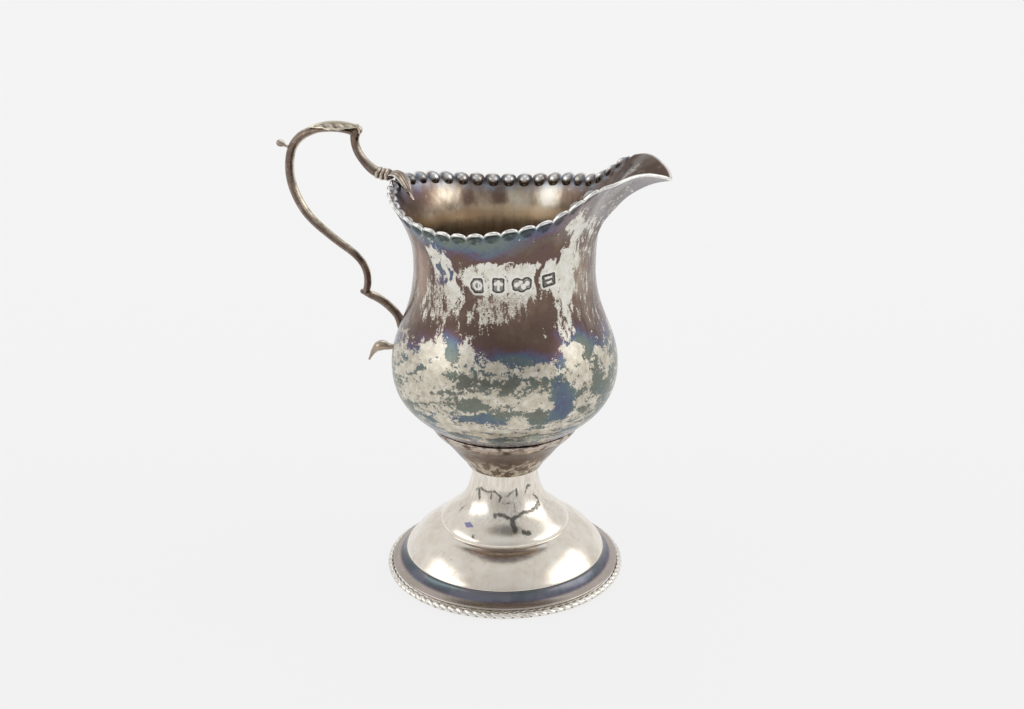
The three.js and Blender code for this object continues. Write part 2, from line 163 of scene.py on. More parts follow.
WORN = [
    # s0, h0, rs, rh, amount
    (-27.5, 84.2, 13.0, 5.4, 0.42), (-31.5, 88.6, 5.5, 2.0, 0.22), (-23.0, 87.6, 6.0, 2.0, 0.10),
    (-32.0, 77.4, 8.5, 3.2, 0.25), (-34.5, 73.5, 6.5, 2.6, 0.12),
    (-47.6, 88.2, 3.2, 3.8, 0.50), (-44.2, 83.5, 1.5, 6.5, 0.40), (-48.5, 77.5, 3.4, 6.5, 0.24),
    (-53.8, 75.5, 1.8, 5.0, 0.22), (-42.0, 76.5, 1.4, 4.0, 0.25), (-38.8, 86.5, 1.6, 3.5, 0.18),
    (-12.6, 90.0, 2.8, 9.5, 0.46), (-14.2, 82.5, 3.4, 4.5, 0.30), (-14.0, 74.0, 3.4, 5.5, 0.26),
    (-7.0, 86.0, 3.2, 11.0, 0.07), (-10.0, 95.5, 5.0, 4.0, 0.18), (-2.5, 98.0, 6.0, 6.0, 0.12),
    (-19.6, 71.6, 1.5, 1.4, 0.36), (-46.8, 66.3, 5.6, 3.6, 0.36), (-40.0, 66.2, 1.6, 4.6, 0.32),
    (-50.5, 58.8, 6.5, 6.8, 0.20), (-44.0, 60.5, 4.0, 2.0, 0.14), (-33.8, 64.9, 2.6, 1.3, 0.40),
    (-23.6, 63.6, 4.4, 1.5, 0.34), (-26.5, 60.3, 6.0, 0.9, 0.16),
    (-13.2, 66.4, 3.2, 2.2, 0.46), (-13.4, 61.6, 3.8, 3.2, 0.34), (-11.2, 54.4, 3.0, 1.8, 0.28),
    (-30.0, 57.9, 9.5, 0.9, 0.24), (-24.2, 56.6, 4.6, 1.5, 0.30), (-27.3, 50.9, 2.6, 2.4, 0.26),
    (-36.5, 49.2, 8.0, 1.7, 0.24), (-17.0, 49.5, 6.5, 1.8, 0.22), (-44.5, 54.0, 3.0, 5.0, 0.10),
    (-3.5, 62.0, 3.0, 4.0, 0.20), (-60.0, 62.0, 4.0, 5.0, 0.18),
    # the far side, in the same manner
    (22.0, 83.0, 11.0, 5.0, 0.36), (40.0, 88.0, 3.0, 7.0, 0.40), (52.0, 76.0, 3.4, 8.0, 0.30),
    (12.0, 66.0, 5.0, 3.0, 0.34), (33.0, 60.0, 9.0, 3.0, 0.28), (58.0, 57.0, 7.0, 5.0, 0.26),
    (26.0, 50.0, 8.0, 2.5, 0.28), (8.0, 52.0, 6.0, 3.0, 0.24), (66.0, 84.0, 3.0, 8.0, 0.34),
    # kept dark
    (-25.8, 70.6, 9.6, 4.6, -0.24), (-20.0, 77.0, 4.0, 4.0, -0.14), (-30.0, 92.6, 15.0, 2.2, -0.30),
    (-20.5, 91.6, 5.4, 2.4, -0.26), (-56.0, 84.5, 2.8, 7.0, -0.20), (-39.6, 80.8, 1.8, 3.2, -0.28),
    (-18.0, 55.2, 2.4, 5.0, -0.34), (-53.0, 69.8, 3.6, 2.6, -0.22), (-8.8, 67.5, 2.2, 3.6, -0.34),
    (-5.5, 58.8, 2.6, 3.6, -0.22), (-29.0, 61.6, 9.0, 2.0, -0.12), (-24.5, 53.2, 2.6, 1.2, -0.26),
    (24.0, 71.5, 12.0, 4.5, -0.20), (30.0, 93.0, 18.0, 3.0, -0.26), (-47.6, 86.5, 0.7, 2.2, -0.55),
    (-44.9, 86.4, 0.8, 2.6, -0.50), (-13.4, 93.0, 1.0, 1.8, -0.35),
    (-21.9, 84.6, 0.9, 4.4, -0.50), (-29.3, 88.7, 2.4, 1.2, -0.32), (-34.2, 80.6, 1.0, 1.6, -0.30), (-15.8, 86.8, 0.7, 3.4, -0.35),
    (-43.2, 66.9, 1.5, 1.9, -0.70), (-41.5, 62.4, 2.6, 1.5, -0.26), (-37.3, 56.2, 3.2, 1.5, -0.22), (-35.8, 52.1, 4.2, 1.2, -0.20),
]
DRIFTS = [
    (-18.6, 55.4, 3.4, 5.8, -0.15), (-43.8, 70.2, 4.0, 1.8, 0.12), (-43.2, 66.6, 2.4, 3.0, 0.26),
    (-29.5, 66.8, 7.0, 1.6, 0.14), (-11.5, 69.5, 4.0, 3.0, 0.22), (-13.0, 64.8, 2.2, 1.8, 0.24),
    (-9.0, 66.5, 3.0, 4.0, 0.16), (-28.5, 72.5, 9.0, 4.0, -0.02), (-31.0, 61.5, 9.0, 2.6, 0.06),
    (-8.0, 84.0, 6.0, 14.0, -0.14), (-62.0, 80.0, 9.0, 16.0, -0.10), (-38.0, 51.5, 10.0, 1.6, -0.13),
    (-46.6, 86.0, 3.5, 5.0, 0.20), (-38.5, 94.0, 12.0, 2.6, 0.18), (-20.0, 93.8, 8.0, 3.0, -0.20),
    (-13.0, 99.0, 9.0, 5.0, -0.16), (-55.5, 83.5, 3.5, 7.0, -0.12),
]
# ragged outlines left where something ran down the stem, as (s, h) at radius 12
STEM_RUNS = [
    (((-26.4, 23.4), (-24.2, 24.3), (-21.2, 23.8), (-18.4, 24.2), (-16.2, 22.9)), 0.20),
    (((-24.8, 23.6), (-23.9, 21.8)), 0.45), (((-19.6, 23.9), (-19.8, 22.4)), 0.22), (((-16.4, 23.2), (-16.8, 21.9)), 0.25),
    (((-14.4, 23.1), (-12.8, 24.1), (-11.0, 24.6)), 0.12), (((-11.0, 24.8), (-11.0, 23.2)), 0.30),
    (((-7.6, 23.6), (-6.4, 25.0), (-5.0, 24.7)), 0.20), (((-4.5, 22.2), (-2.9, 20.8), (-3.1, 19.4), (-5.2, 18.9)), 0.22),
    (((-16.8, 18.9), (-15.4, 18.8), (-13.4, 18.0), (-11.2, 18.7), (-9.4, 19.1), (-7.6, 18.9), (-5.6, 19.2), (-3.6, 19.9)), 0.30),
    (((-12.9, 18.0), (-13.2, 17.1), (-12.8, 16.1)), 0.55), (((-17.9, 18.8), (-17.7, 18.6)), 0.40),
    (((-11.2, 15.5), (-9.8, 15.1)), 0.30), (((-12.2, 21.6), (-12.0, 19.2)), 0.06), (((-15.9, 21.5), (-12.2, 21.6)), 0.04),
    (((-28.8, 18.2), (-29.2, 17.2)), 0.16), (((-21.5, 14.4), (-21.3, 14.2)), 0.18),
    # round the back
    (((6.0, 22.5), (8.6, 23.6), (11.0, 22.4), (13.5, 23.8), (16.0, 22.6)), 0.20), (((11.0, 22.4), (11.3, 20.6)), 0.35),
    (((20.0, 18.6), (22.4, 18.0), (24.6, 18.8), (27.0, 18.3), (29.0, 19.2)), 0.28), (((24.6, 18.6), (24.2, 17.0)), 0.45),
]
RUSTY = [(-56.5, 85.0, 3.4, 6.5, 0.55)]
TEAL = [(-38.0, 94.6, 15.0, 2.4, 0.45)]
# paler places towards the bowl's silhouetted sides: partly rubbed film, partly a painted reflection of the pale
# surroundings
SIDE_RUB_AND_SHEEN = [(-3.0, 82.0, 7.0, 16.0, 1.0), (-60.0, 82.0, 9.0, 15.0, 0.75), (-50.5, 84.0, 3.0, 9.0, 0.5)]
RIPPLED = [(-32.0, 77.8, 8.5, 3.8, 1.0), (-48.5, 77.0, 4.0, 6.0, 1.0)]

_rng = np.random.default_rng(7)
_waves = [(_rng.normal(size=3) * w, _rng.uniform(0, 6.28, 3), a) for w, a in
          [(0.35, 0.55), (0.6, 0.45), (1.0, 0.35), (1.6, 0.25)] for _ in range(5)]


def wander(P, scale=1.0):
    """A small, smooth, wandering offset for each point, in mm."""
    out = np.zeros((len(P), 2))
    for kvec, ph, a in _waves:
        t = P @ kvec
        out[:, 0] += a * 0.55 * np.sin(t + ph[0])
        out[:, 1] += a * 0.55 * np.sin(t + ph[1])
    return out * scale


def region(P, places, soft=0.4, scale=1.0):
    """Sum of soft-edged ellipses of the unrolled wall at each point."""
    w = wander(P, scale)
    s = np.arctan2(P[:, 1], P[:, 0]) * 24 + w[:, 0]
    h = P[:, 2] + w[:, 1]
    total = np.zeros(len(P))
    for s0, h0, rs, rh, amount in places:
        ds = (s - s0 + 75.398) % 150.796 - 75.398
        d = np.hypot(ds / rs, (h - h0) / rh)
        total += amount * (1 - step01(d, 1 - soft, 1 + soft))
    return total


def stroke_distance(s, h, lines):
    """How far each point is outside the nearest of several thick polylines."""
    best = np.full(len(s), 9.0)
    for pts, w in lines:
        for (ax, ay), (bx, by) in zip(pts[:-1], pts[1:]):
            dx, dy = bx - ax, by - ay
            u = np.clip(((s - ax) * dx + (h - ay) * dy) / (dx * dx + dy * dy), 0, 1)
            best = np.minimum(best, np.hypot(s - ax - u * dx, h - ay - u * dy) - w)
    return best

# ------------------------------------------------------------------ node kit


class Nodes:
    """Short names for the shader nodes of one material."""

    def __init__(self, name):
        self.mat = bpy.data.materials.new(name)
        self.mat.use_nodes = True
        self.t = self.mat.node_tree
        self.t.nodes.clear()
        self.out = self.t.nodes.new("ShaderNodeOutputMaterial")
        self.bsdf = self.t.nodes.new("ShaderNodeBsdfPrincipled")
        self.t.links.new(self.bsdf.outputs[0], self.out.inputs[0])
        self._co = None

    def put(self, socket, value):
        if isinstance(value, bpy.types.NodeSocket):
            self.t.links.new(value, socket)
        elif value is not None:
            if isinstance(value, (tuple, list)) and len(value) == 3 and socket.type == "RGBA":
                value = (*value, 1.0)
            socket.default_value = value

    def math(self, op, a, b=None, c=None, clamp=False):
        n = self.t.nodes.new("ShaderNodeMath")
        n.operation = op
        n.use_clamp = clamp
        for s, x in zip(n.inputs, (a, b, c)):
            self.put(s, x)
        return n.outputs[0]

    def add(self, *xs):
        r = xs[0]
        for x in xs[1:]:
            r = self.math("ADD", r, x)
        return r

    def mul(self, *xs):
        r = xs[0]
        for x in xs[1:]:
            r = self.math("MULTIPLY", r, x)
        return r

    def sub(self, a, b):
        return self.math("SUBTRACT", a, b)

    def vec(self, op, a, b=None, scale=None):
        n = self.t.nodes.new("ShaderNodeVectorMath")
        n.operation = op
        self.put(n.inputs[0], a)
        if b is not None:
            self.put(n.inputs[1], b)
        if scale is not None:
            self.put(n.inputs["Scale"], scale)
        return n.outputs["Value"] if op in ("LENGTH", "DOT_PRODUCT", "DISTANCE") else n.outputs[0]

    def co(self):
        """Position in mm about the bowl's axis."""
        if self._co is None:
            tc = self.t.nodes.new("ShaderNodeTexCoord")
            a = self.vec("SUBTRACT", tc.outputs["Object"], (AXIS * 0.001, 0, 0))
            self._co = self.vec("SCALE", a, scale=1000.0)
        return self._co

    def xyz(self, v):
        n = self.t.nodes.new("ShaderNodeSeparateXYZ")
        self.put(n.inputs[0], v)
        return n.outputs[0], n.outputs[1], n.outputs[2]

    def join(self, x, y, z=0.0):
        n = self.t.nodes.new("ShaderNodeCombineXYZ")
        for s, q in zip(n.inputs, (x, y, z)):
            self.put(s, q)
        return n.outputs[0]

    def stretch(self, v, sx, sy, sz, shift=(0, 0, 0)):
        return self.vec("ADD", self.vec("MULTIPLY", v, (sx, sy, sz)), shift)

    def noise(self, v, scale, detail=6.0, rough=0.55, lac=2.0, distort=0.0, color=False):
        n = self.t.nodes.new("ShaderNodeTexNoise")
        self.put(n.inputs["Vector"], v)
        n.inputs["Scale"].default_value = scale
        n.inputs["Detail"].default_value = detail
        n.inputs["Roughness"].default_value = rough
        n.inputs["Lacunarity"].default_value = lac
        n.inputs["Distortion"].default_value = distort
        return n.outputs["Color"] if color else n.outputs[0]

    def cells(self, v, scale, feature="F1", smooth=None, rand=1.0):
        n = self.t.nodes.new("ShaderNodeTexVoronoi")
        n.feature = feature
        self.put(n.inputs["Vector"], v)
        n.inputs["Scale"].default_value = scale
        n.inputs["Randomness"].default_value = rand
        if smooth is not None:
            n.inputs["Smoothness"].default_value = smooth
        return n.outputs["Distance"]

    def ramp(self, fac, stops, mode="LINEAR"):
        n = self.t.nodes.new("ShaderNodeValToRGB")
        n.color_ramp.interpolation = mode
        e = n.color_ramp.elements
        while len(e) < len(stops):
            e.new(0.5)
        for k, (pos, col) in zip(e, stops):
            k.position = pos
            k.color = (*col, 1.0) if len(col) == 3 else col
        self.put(n.inputs[0], fac)
        return n.outputs[0]

    def sstep(self, x, lo, hi, a=0.0, b=1.0):
        n = self.t.nodes.new("ShaderNodeMapRange")
        n.interpolation_type = "SMOOTHSTEP"
        self.put(n.inputs["Value"], x)
        n.inputs["From Min"].default_value = lo
        n.inputs["From Max"].default_value = hi
        n.inputs["To Min"].default_value = a
        n.inputs["To Max"].default_value = b
        return n.outputs[0]

    def lerp(self, x, lo, hi, a=0.0, b=1.0):
        n = self.t.nodes.new("ShaderNodeMapRange")
        self.put(n.inputs["Value"], x)
        n.inputs["From Min"].default_value = lo
        n.inputs["From Max"].default_value = hi
        n.inputs["To Min"].default_value = a
        n.inputs["To Max"].default_value = b
        return n.outputs[0]

    def mix(self, fac, a, b, mode="MIX"):
        n = self.t.nodes.new("ShaderNodeMix")
        n.data_type = "RGBA"
        n.blend_type = mode
        n.clamp_factor = True
        self.put(n.inputs[0], fac)
        self.put(n.inputs[6], a)
        self.put(n.inputs[7], b)
        return n.outputs[2]

    def mixf(self, fac, a, b):
        n = self.t.nodes.new("ShaderNodeMix")
        n.data_type = "FLOAT"
        n.clamp_factor = True
        self.put(n.inputs[0], fac)
        self.put(n.inputs[2], a)
        self.put(n.inputs[3], b)
        return n.outputs[0]

    def attr(self, name):
        n = self.t.nodes.new("ShaderNodeAttribute")
        n.attribute_name = name
        return n.outputs["Fac"]

    def blob(self, q, s0, h0, rs, rh, soft=0.45):
        """1 inside an ellipse of the unrolled wall, 0 outside."""
        d = self.vec("LENGTH", self.vec("MULTIPLY", self.vec("SUBTRACT", q, (s0, h0, 0)), (1 / rs, 1 / rh, 0)))
        return self.sstep(d, 1 - soft, 1 + soft, 1.0, 0.0)

    def bump(self, height, strength, distance, normal=None):
        n = self.t.nodes.new("ShaderNodeBump")
        n.inputs["Strength"].default_value = strength
        n.inputs["Distance"].default_value = distance
        self.put(n.inputs["Height"], height)
        if normal is not None:
            self.put(n.inputs["Normal"], normal)
        return n.outputs[0]

    def finish(self, color, rough, metal=1.0, normal=None):
        b = self.bsdf.inputs
        self.put(b["Base Color"], color)
        self.put(b["Roughness"], rough)
        self.put(b["Metallic"], metal)
        if normal is not None:
            self.put(b["Normal"], normal)
        return self.mat


# Colours of a tarnish film as it thickens, from bare silver to a heavy grey film.
FILM = [
    (0.00, (0.80, 0.755, 0.67)),
    (0.10, (0.66, 0.585, 0.47)),
    (0.20, (0.40, 0.315, 0.235)),
    (0.32, (0.225, 0.155, 0.120)),
    (0.43, (0.150, 0.102, 0.080)),
    (0.52, (0.155, 0.095, 0.090)),
    (0.61, (0.150, 0.115, 0.165)),
    (0.69, (0.120, 0.150, 0.225)),
    (0.78, (0.150, 0.195, 0.205)),
    (0.88, (0.185, 0.205, 0.170)),
    (1.00, (0.165, 0.160, 0.135)),
]

# ------------------------------------------------------------------ materials


def bowl_material():
    k = Nodes("tarnished_bowl")
    p = k.co()
    x, y, z = k.xyz(p)
    theta = k.math("ARCTAN2", y, x)
    s = k.mul(theta, 24.0)
    fine = k.vec("SCALE", k.vec("SUBTRACT", k.noise(p, 1.5, 3, 0.6, color=True), (0.5, 0.5, 0.5)), scale=1.3)
    plain_q = k.join(s, z, 0.0)

    # Share of bare silver: where the film is worn through or has lifted.
    bare = k.ramp(k.lerp(z, 34.0, 110.0), [
        (0.0, (0.30,) * 3), (0.10, (0.37,) * 3), (0.20, (0.405,) * 3), (0.32, (0.39,) * 3), (0.40, (0.36,) * 3),
        (0.46, (0.28,) * 3), (0.58, (0.27,) * 3), (0.70, (0.30,) * 3), (0.765, (0.24,) * 3),
        (0.83, (0.22,) * 3), (1.0, (0.26,) * 3)])
    bare = k.add(bare, k.attr("patch"))

    # Ragged edges: runs down the neck; rounded islands round the belly, flatter towards the bottom.
    runs = k.noise(k.stretch(p, 1.0, 1.0, 0.30, (3, 9, 1)), 0.85, 8, 0.62, distort=0.3)
    blots = k.noise(k.stretch(p, 1.0, 1.0, 1.2, (7, 2, 5)), 0.62, 8, 0.62, distort=0.6)
    bands = k.noise(k.join(k.mul(s, 0.40), k.mul(z, 1.6), 0.0), 0.60, 8, 0.62, distort=0.5)
    wob = k.vec("SCALE", k.vec("SUBTRACT", k.noise(p, 0.9, 2, 0.5, color=True), (0.5, 0.5, 0.5)), scale=1.6)
    flat = k.sstep(z, 62.0, 50.0)
    island_at = k.vec("ADD", k.vec("ADD", k.join(k.mul(s, k.sub(1.0, k.mul(flat, 0.42))), k.mul(z, k.add(1.0, k.mul(flat, 0.35))), 0.0), wob), fine)
    cell = k.cells(island_at, 0.36, rand=0.95)
    up = k.sstep(z, 64.0, 74.0)
    low = k.sstep(z, 57.0, 47.0)
    rag = k.mixf(low, k.mixf(up, blots, runs), bands)
    net = k.mul(k.sub(cell, 0.44), k.sub(1.0, up), k.add(0.52, k.mul(low, -0.22)))
    crumb = k.noise(p, 2.6, 5, 0.7, distort=0.2)
    speck = k.noise(k.stretch(p, 1, 1, 1, (2, 7, 3)), 5.5, 3, 0.7)
    field = k.add(bare, k.mul(k.sub(rag, 0.5), 1.55), net, k.mul(k.sub(crumb, 0.5), 0.78), k.mul(k.sub(speck, 0.5), 0.40))
    # specks of bare metal in the film, and flecks of film left on the bare metal
    pins = k.mul(k.sstep(k.cells(k.vec("ADD", p, fine), 0.62), 0.15, 0.09), k.sstep(bare, 0.16, 0.40), 0.35)
    flecks = k.mul(k.sstep(k.cells(k.vec("ADD", k.stretch(p, 1, 1, 0.8, (5, 1, 2)), fine), 0.95), 0.30, 0.16),
                   k.sstep(k.noise(p, 0.30, 3, 0.5), 0.50, 0.60), 0.42)
    field = k.sub(k.add(field, pins), flecks)
    worn = k.sstep(field, 0.460, 0.540)
    thin = k.sstep(field, 0.545, 0.455)

    # Thickness of the film by height, with drifts in it.
    thick = k.ramp(k.lerp(z, 34.0, 110.0), [
        (0.00, (0.36,) * 3), (0.08, (0.50,) * 3), (0.14, (0.74,) * 3), (0.22, (0.84,) * 3),
        (0.30, (0.90,) * 3), (0.37, (0.84,) * 3), (0.405, (0.72,) * 3), (0.44, (0.58,) * 3), (0.48, (0.46,) * 3),
        (0.62, (0.41,) * 3), (0.735, (0.47,) * 3), (0.765, (0.54,) * 3), (0.795, (0.64,) * 3),
        (0.83, (0.76,) * 3), (1.0, (0.66,) * 3)])
    drift = k.noise(k.stretch(p, 1.0, 1.0, 0.8, (1, 4, 8)), 0.15, 4, 0.55)
    mottle = k.noise(k.stretch(p, 1.0, 1.0, 0.55, (5, 5, 0)), 0.6, 6, 0.62)
    film = k.add(thick, k.mul(k.sub(drift, 0.5), 0.42), k.mul(k.sub(mottle, 0.5), 0.20))
    film = k.add(film, k.attr("spot"))
    tarnish = k.ramp(k.math("MULTIPLY", film, thin, clamp=True), FILM)
    # red-brown runs at the left of the neck; towards the sides and under the lip the film is paler, partly rubbed and
    # partly a painted reflection of the pale surroundings
    tarnish = k.mix(k.attr("rusty"), tarnish, (0.36, 0.19, 0.135))
    lipward = k.mul(k.sstep(z, 92.0, 99.0), k.sstep(k.math("ABSOLUTE", theta), 0.95, 0.45))
    # partly rubbed film, partly painted reflection: paler under the lip and towards the sides
    paler_film = k.math("MAXIMUM", k.mul(lipward, 0.80), k.mul(k.attr("side_rub_and_sheen"), k.add(0.25, k.mul(k.sub(runs, 0.5), 2.4))))
    tarnish = k.mix(k.math("MULTIPLY", paler_film, 1.0, clamp=True), tarnish,
                    k.mix(k.sstep(drift, 0.42, 0.58), (0.36, 0.335, 0.325), (0.33, 0.285, 0.255)))
    tarnish = k.mix(k.attr("teal"), tarnish, (0.20, 0.235, 0.215))
    grime = k.noise(p, 1.2, 6, 0.65)
    tarnish = k.mix(k.mul(k.sstep(grime, 0.50, 0.72), 0.40), tarnish, k.mix(low, (0.075, 0.060, 0.052), (0.070, 0.078, 0.062)))

    clean_tone = k.noise(p, 0.55, 6, 0.62)
    clean_neck = k.ramp(clean_tone, [(0.32, (0.62, 0.585, 0.505)), (0.48, (0.76, 0.735, 0.66)), (0.68, (0.84, 0.82, 0.77))])
    clean_belly = k.ramp(clean_tone, [(0.32, (0.47, 0.42, 0.335)), (0.50, (0.62, 0.575, 0.475)), (0.70, (0.80, 0.755, 0.67))])
    clean = k.mix(k.sstep(z, 72.0, 64.0), clean_neck, clean_belly)
    # the fine ripple and pitting under the marks and beside them
    ripple_zone = k.attr("rippled")
    ripple = k.noise(k.stretch(p, 1.0, 1.0, 2.2, (4, 4, 4)), 1.9, 4, 0.65)
    clean = k.mix(k.mul(ripple_zone, k.sstep(ripple, 0.40, 0.58)), clean, (0.42, 0.355, 0.285))
    clean = k.mix(k.mul(k.sstep(crumb, 0.55, 0.68), 0.55), clean, (0.36, 0.32, 0.265))
    colour = k.mix(worn, tarnish, clean)

    # painted shade darkens the dimples, in patches; a painted highlight brightens the cut edge
    dim, edge = k.attr("dimple"), k.attr("edge")
    dimple_shade_noise = k.sstep(k.noise(p, 0.9, 4, 0.6), 0.34, 0.60, 0.45, 0.95)
    # painted shade: the punched dimples darkened towards a dark green-grey
    colour = k.mix(k.math("MULTIPLY", dim, dimple_shade_noise, clamp=True), colour, (0.058, 0.068, 0.058))
    edge_noise = k.noise(p, 0.8, 3, 0.6)
    # painted highlight along the cut edge
    colour = k.mix(k.math("MULTIPLY", edge, k.sstep(edge_noise, 0.30, 0.55, 0.6, 1.0), clamp=True), colour, (0.90, 0.885, 0.84))

    # four generic punches in a row: shaped outlines with plain devices
    def local(s0, h0, tilt=0.0):
        v = k.vec("SUBTRACT", plain_q, (s0, h0, 0))
        if tilt:
            vx, vy, _ = k.xyz(v)
            c, n_ = math.cos(tilt), math.sin(tilt)
            v = k.join(k.add(k.mul(vx, c), k.mul(vy, n_)), k.add(k.mul(vx, -n_), k.mul(vy, c)))
        return v

    def boxd(v, a, b, r):
        vx, vy, _ = k.xyz(v)
        dx = k.math("MAXIMUM", k.sub(k.math("ABSOLUTE", vx), a - r), 0.0)
        dy = k.math("MAXIMUM", k.sub(k.math("ABSOLUTE", vy), b - r), 0.0)
        return k.sub(k.vec("LENGTH", k.join(dx, dy)), r)

    def disc(v, cx, cy, r):
        return k.sub(k.vec("LENGTH", k.vec("SUBTRACT", v, (cx, cy, 0))), r)

    def bar(v, cx, cy, a, b):
        return boxd(k.vec("SUBTRACT", v, (cx, cy, 0)), a, b, 0.12)

    def least(*ds):
        r = ds[0]
        for d in ds[1:]:
            r = k.math("MINIMUM", r, d)
        return r

    v1, v2, v3, v4 = local(-36.8, 83.7, 0.08), local(-31.6, 83.9), local(-25.7, 84.1, 0.05), local(-18.5, 84.5, 0.12)
    out1 = k.math("MINIMUM", boxd(v1, 1.35, 1.85, 0.6), disc(v1, -0.5, 0.0, 1.55))
    out2 = k.math("MAXIMUM", boxd(v2, 1.5, 1.95, 0.5), disc(v2, 0, 0.6, 2.35))
    out3 = least(boxd(v3, 2.45, 1.35, 0.9), disc(v3, -1.2, 0.45, 1.35), disc(v3, 1.2, 0.45, 1.35), disc(v3, 0, -0.5, 1.35))
    out4 = boxd(v4, 1.85, 1.55, 0.35)
    low4 = least(out1, out2, out3, out4)
    dev = least(
        k.sub(k.math("ABSOLUTE", disc(v1, -0.1, 0, 0.95)), 0.26), bar(v1, 0.15, 0.0, 0.16, 1.0),
        bar(v2, 0, -0.1, 0.3, 1.15), disc(v2, -0.72, 0.45, 0.46), disc(v2, 0.72, 0.45, 0.46), disc(v2, 0, 0.9, 0.5),
        disc(v3, -1.35, 0.1, 0.62), disc(v3, 1.35, 0.15, 0.62), disc(v3, -0.35, 0.65, 0.5), disc(v3, 0.4, -0.6, 0.62), bar(v3, 0, 0.0, 1.3, 0.16),
        bar(v4, 0, 0.62, 1.05, 0.28), bar(v4, 0.1, -0.55, 0.75, 0.26))
    jitter = k.mul(k.sub(k.noise(p, 2.4, 3, 0.6), 0.5), 0.45)
    sunk = k.sstep(k.add(low4, jitter), 0.06, -0.12)
    wall = k.sstep(k.math("ABSOLUTE", k.add(low4, 0.16, jitter)), 0.30, 0.12)
    raised = k.mul(k.sstep(k.add(dev, jitter), 0.14, -0.10), sunk)
    floor_ = k.mul(sunk, k.sub(1.0, raised))
    halo = k.mul(k.sstep(low4, 0.80, 0.20), k.sub(1.0, sunk))
    colour = k.mix(k.mul(halo, 0.80), colour, (0.86, 0.85, 0.79))
    colour = k.mix(k.mul(floor_, k.sstep(crumb, 0.42, 0.58, 0.55, 0.9)), colour, (0.17, 0.165, 0.145))
    # painted shade on the sunk walls of the marks
    colour = k.mix(k.mul(wall, k.sub(1.0, k.mul(raised, 0.8)), 0.85), colour, (0.045, 0.042, 0.036))
    colour = k.mix(raised, colour, (0.84, 0.825, 0.77))

    rough = k.mixf(worn, k.lerp(mottle, 0.3, 0.7, 0.16, 0.26), k.lerp(clean_tone, 0.3, 0.7, 0.26, 0.38))
    rough = k.add(rough, k.mul(dim, 0.10), k.mul(floor_, 0.15))
    height = k.add(k.mul(worn, -0.5), k.mul(k.sub(crumb, 0.5), 0.5), k.mul(k.noise(p, 0.28, 3, 0.5), 0.9), k.mul(ripple_zone, ripple, 0.6))
    n = k.bump(height, 0.25, 0.0001)
    n = k.bump(k.mul(floor_, -1.0), 0.9, 0.00018, n)
    return k.finish(colour, rough, 1.0, n)


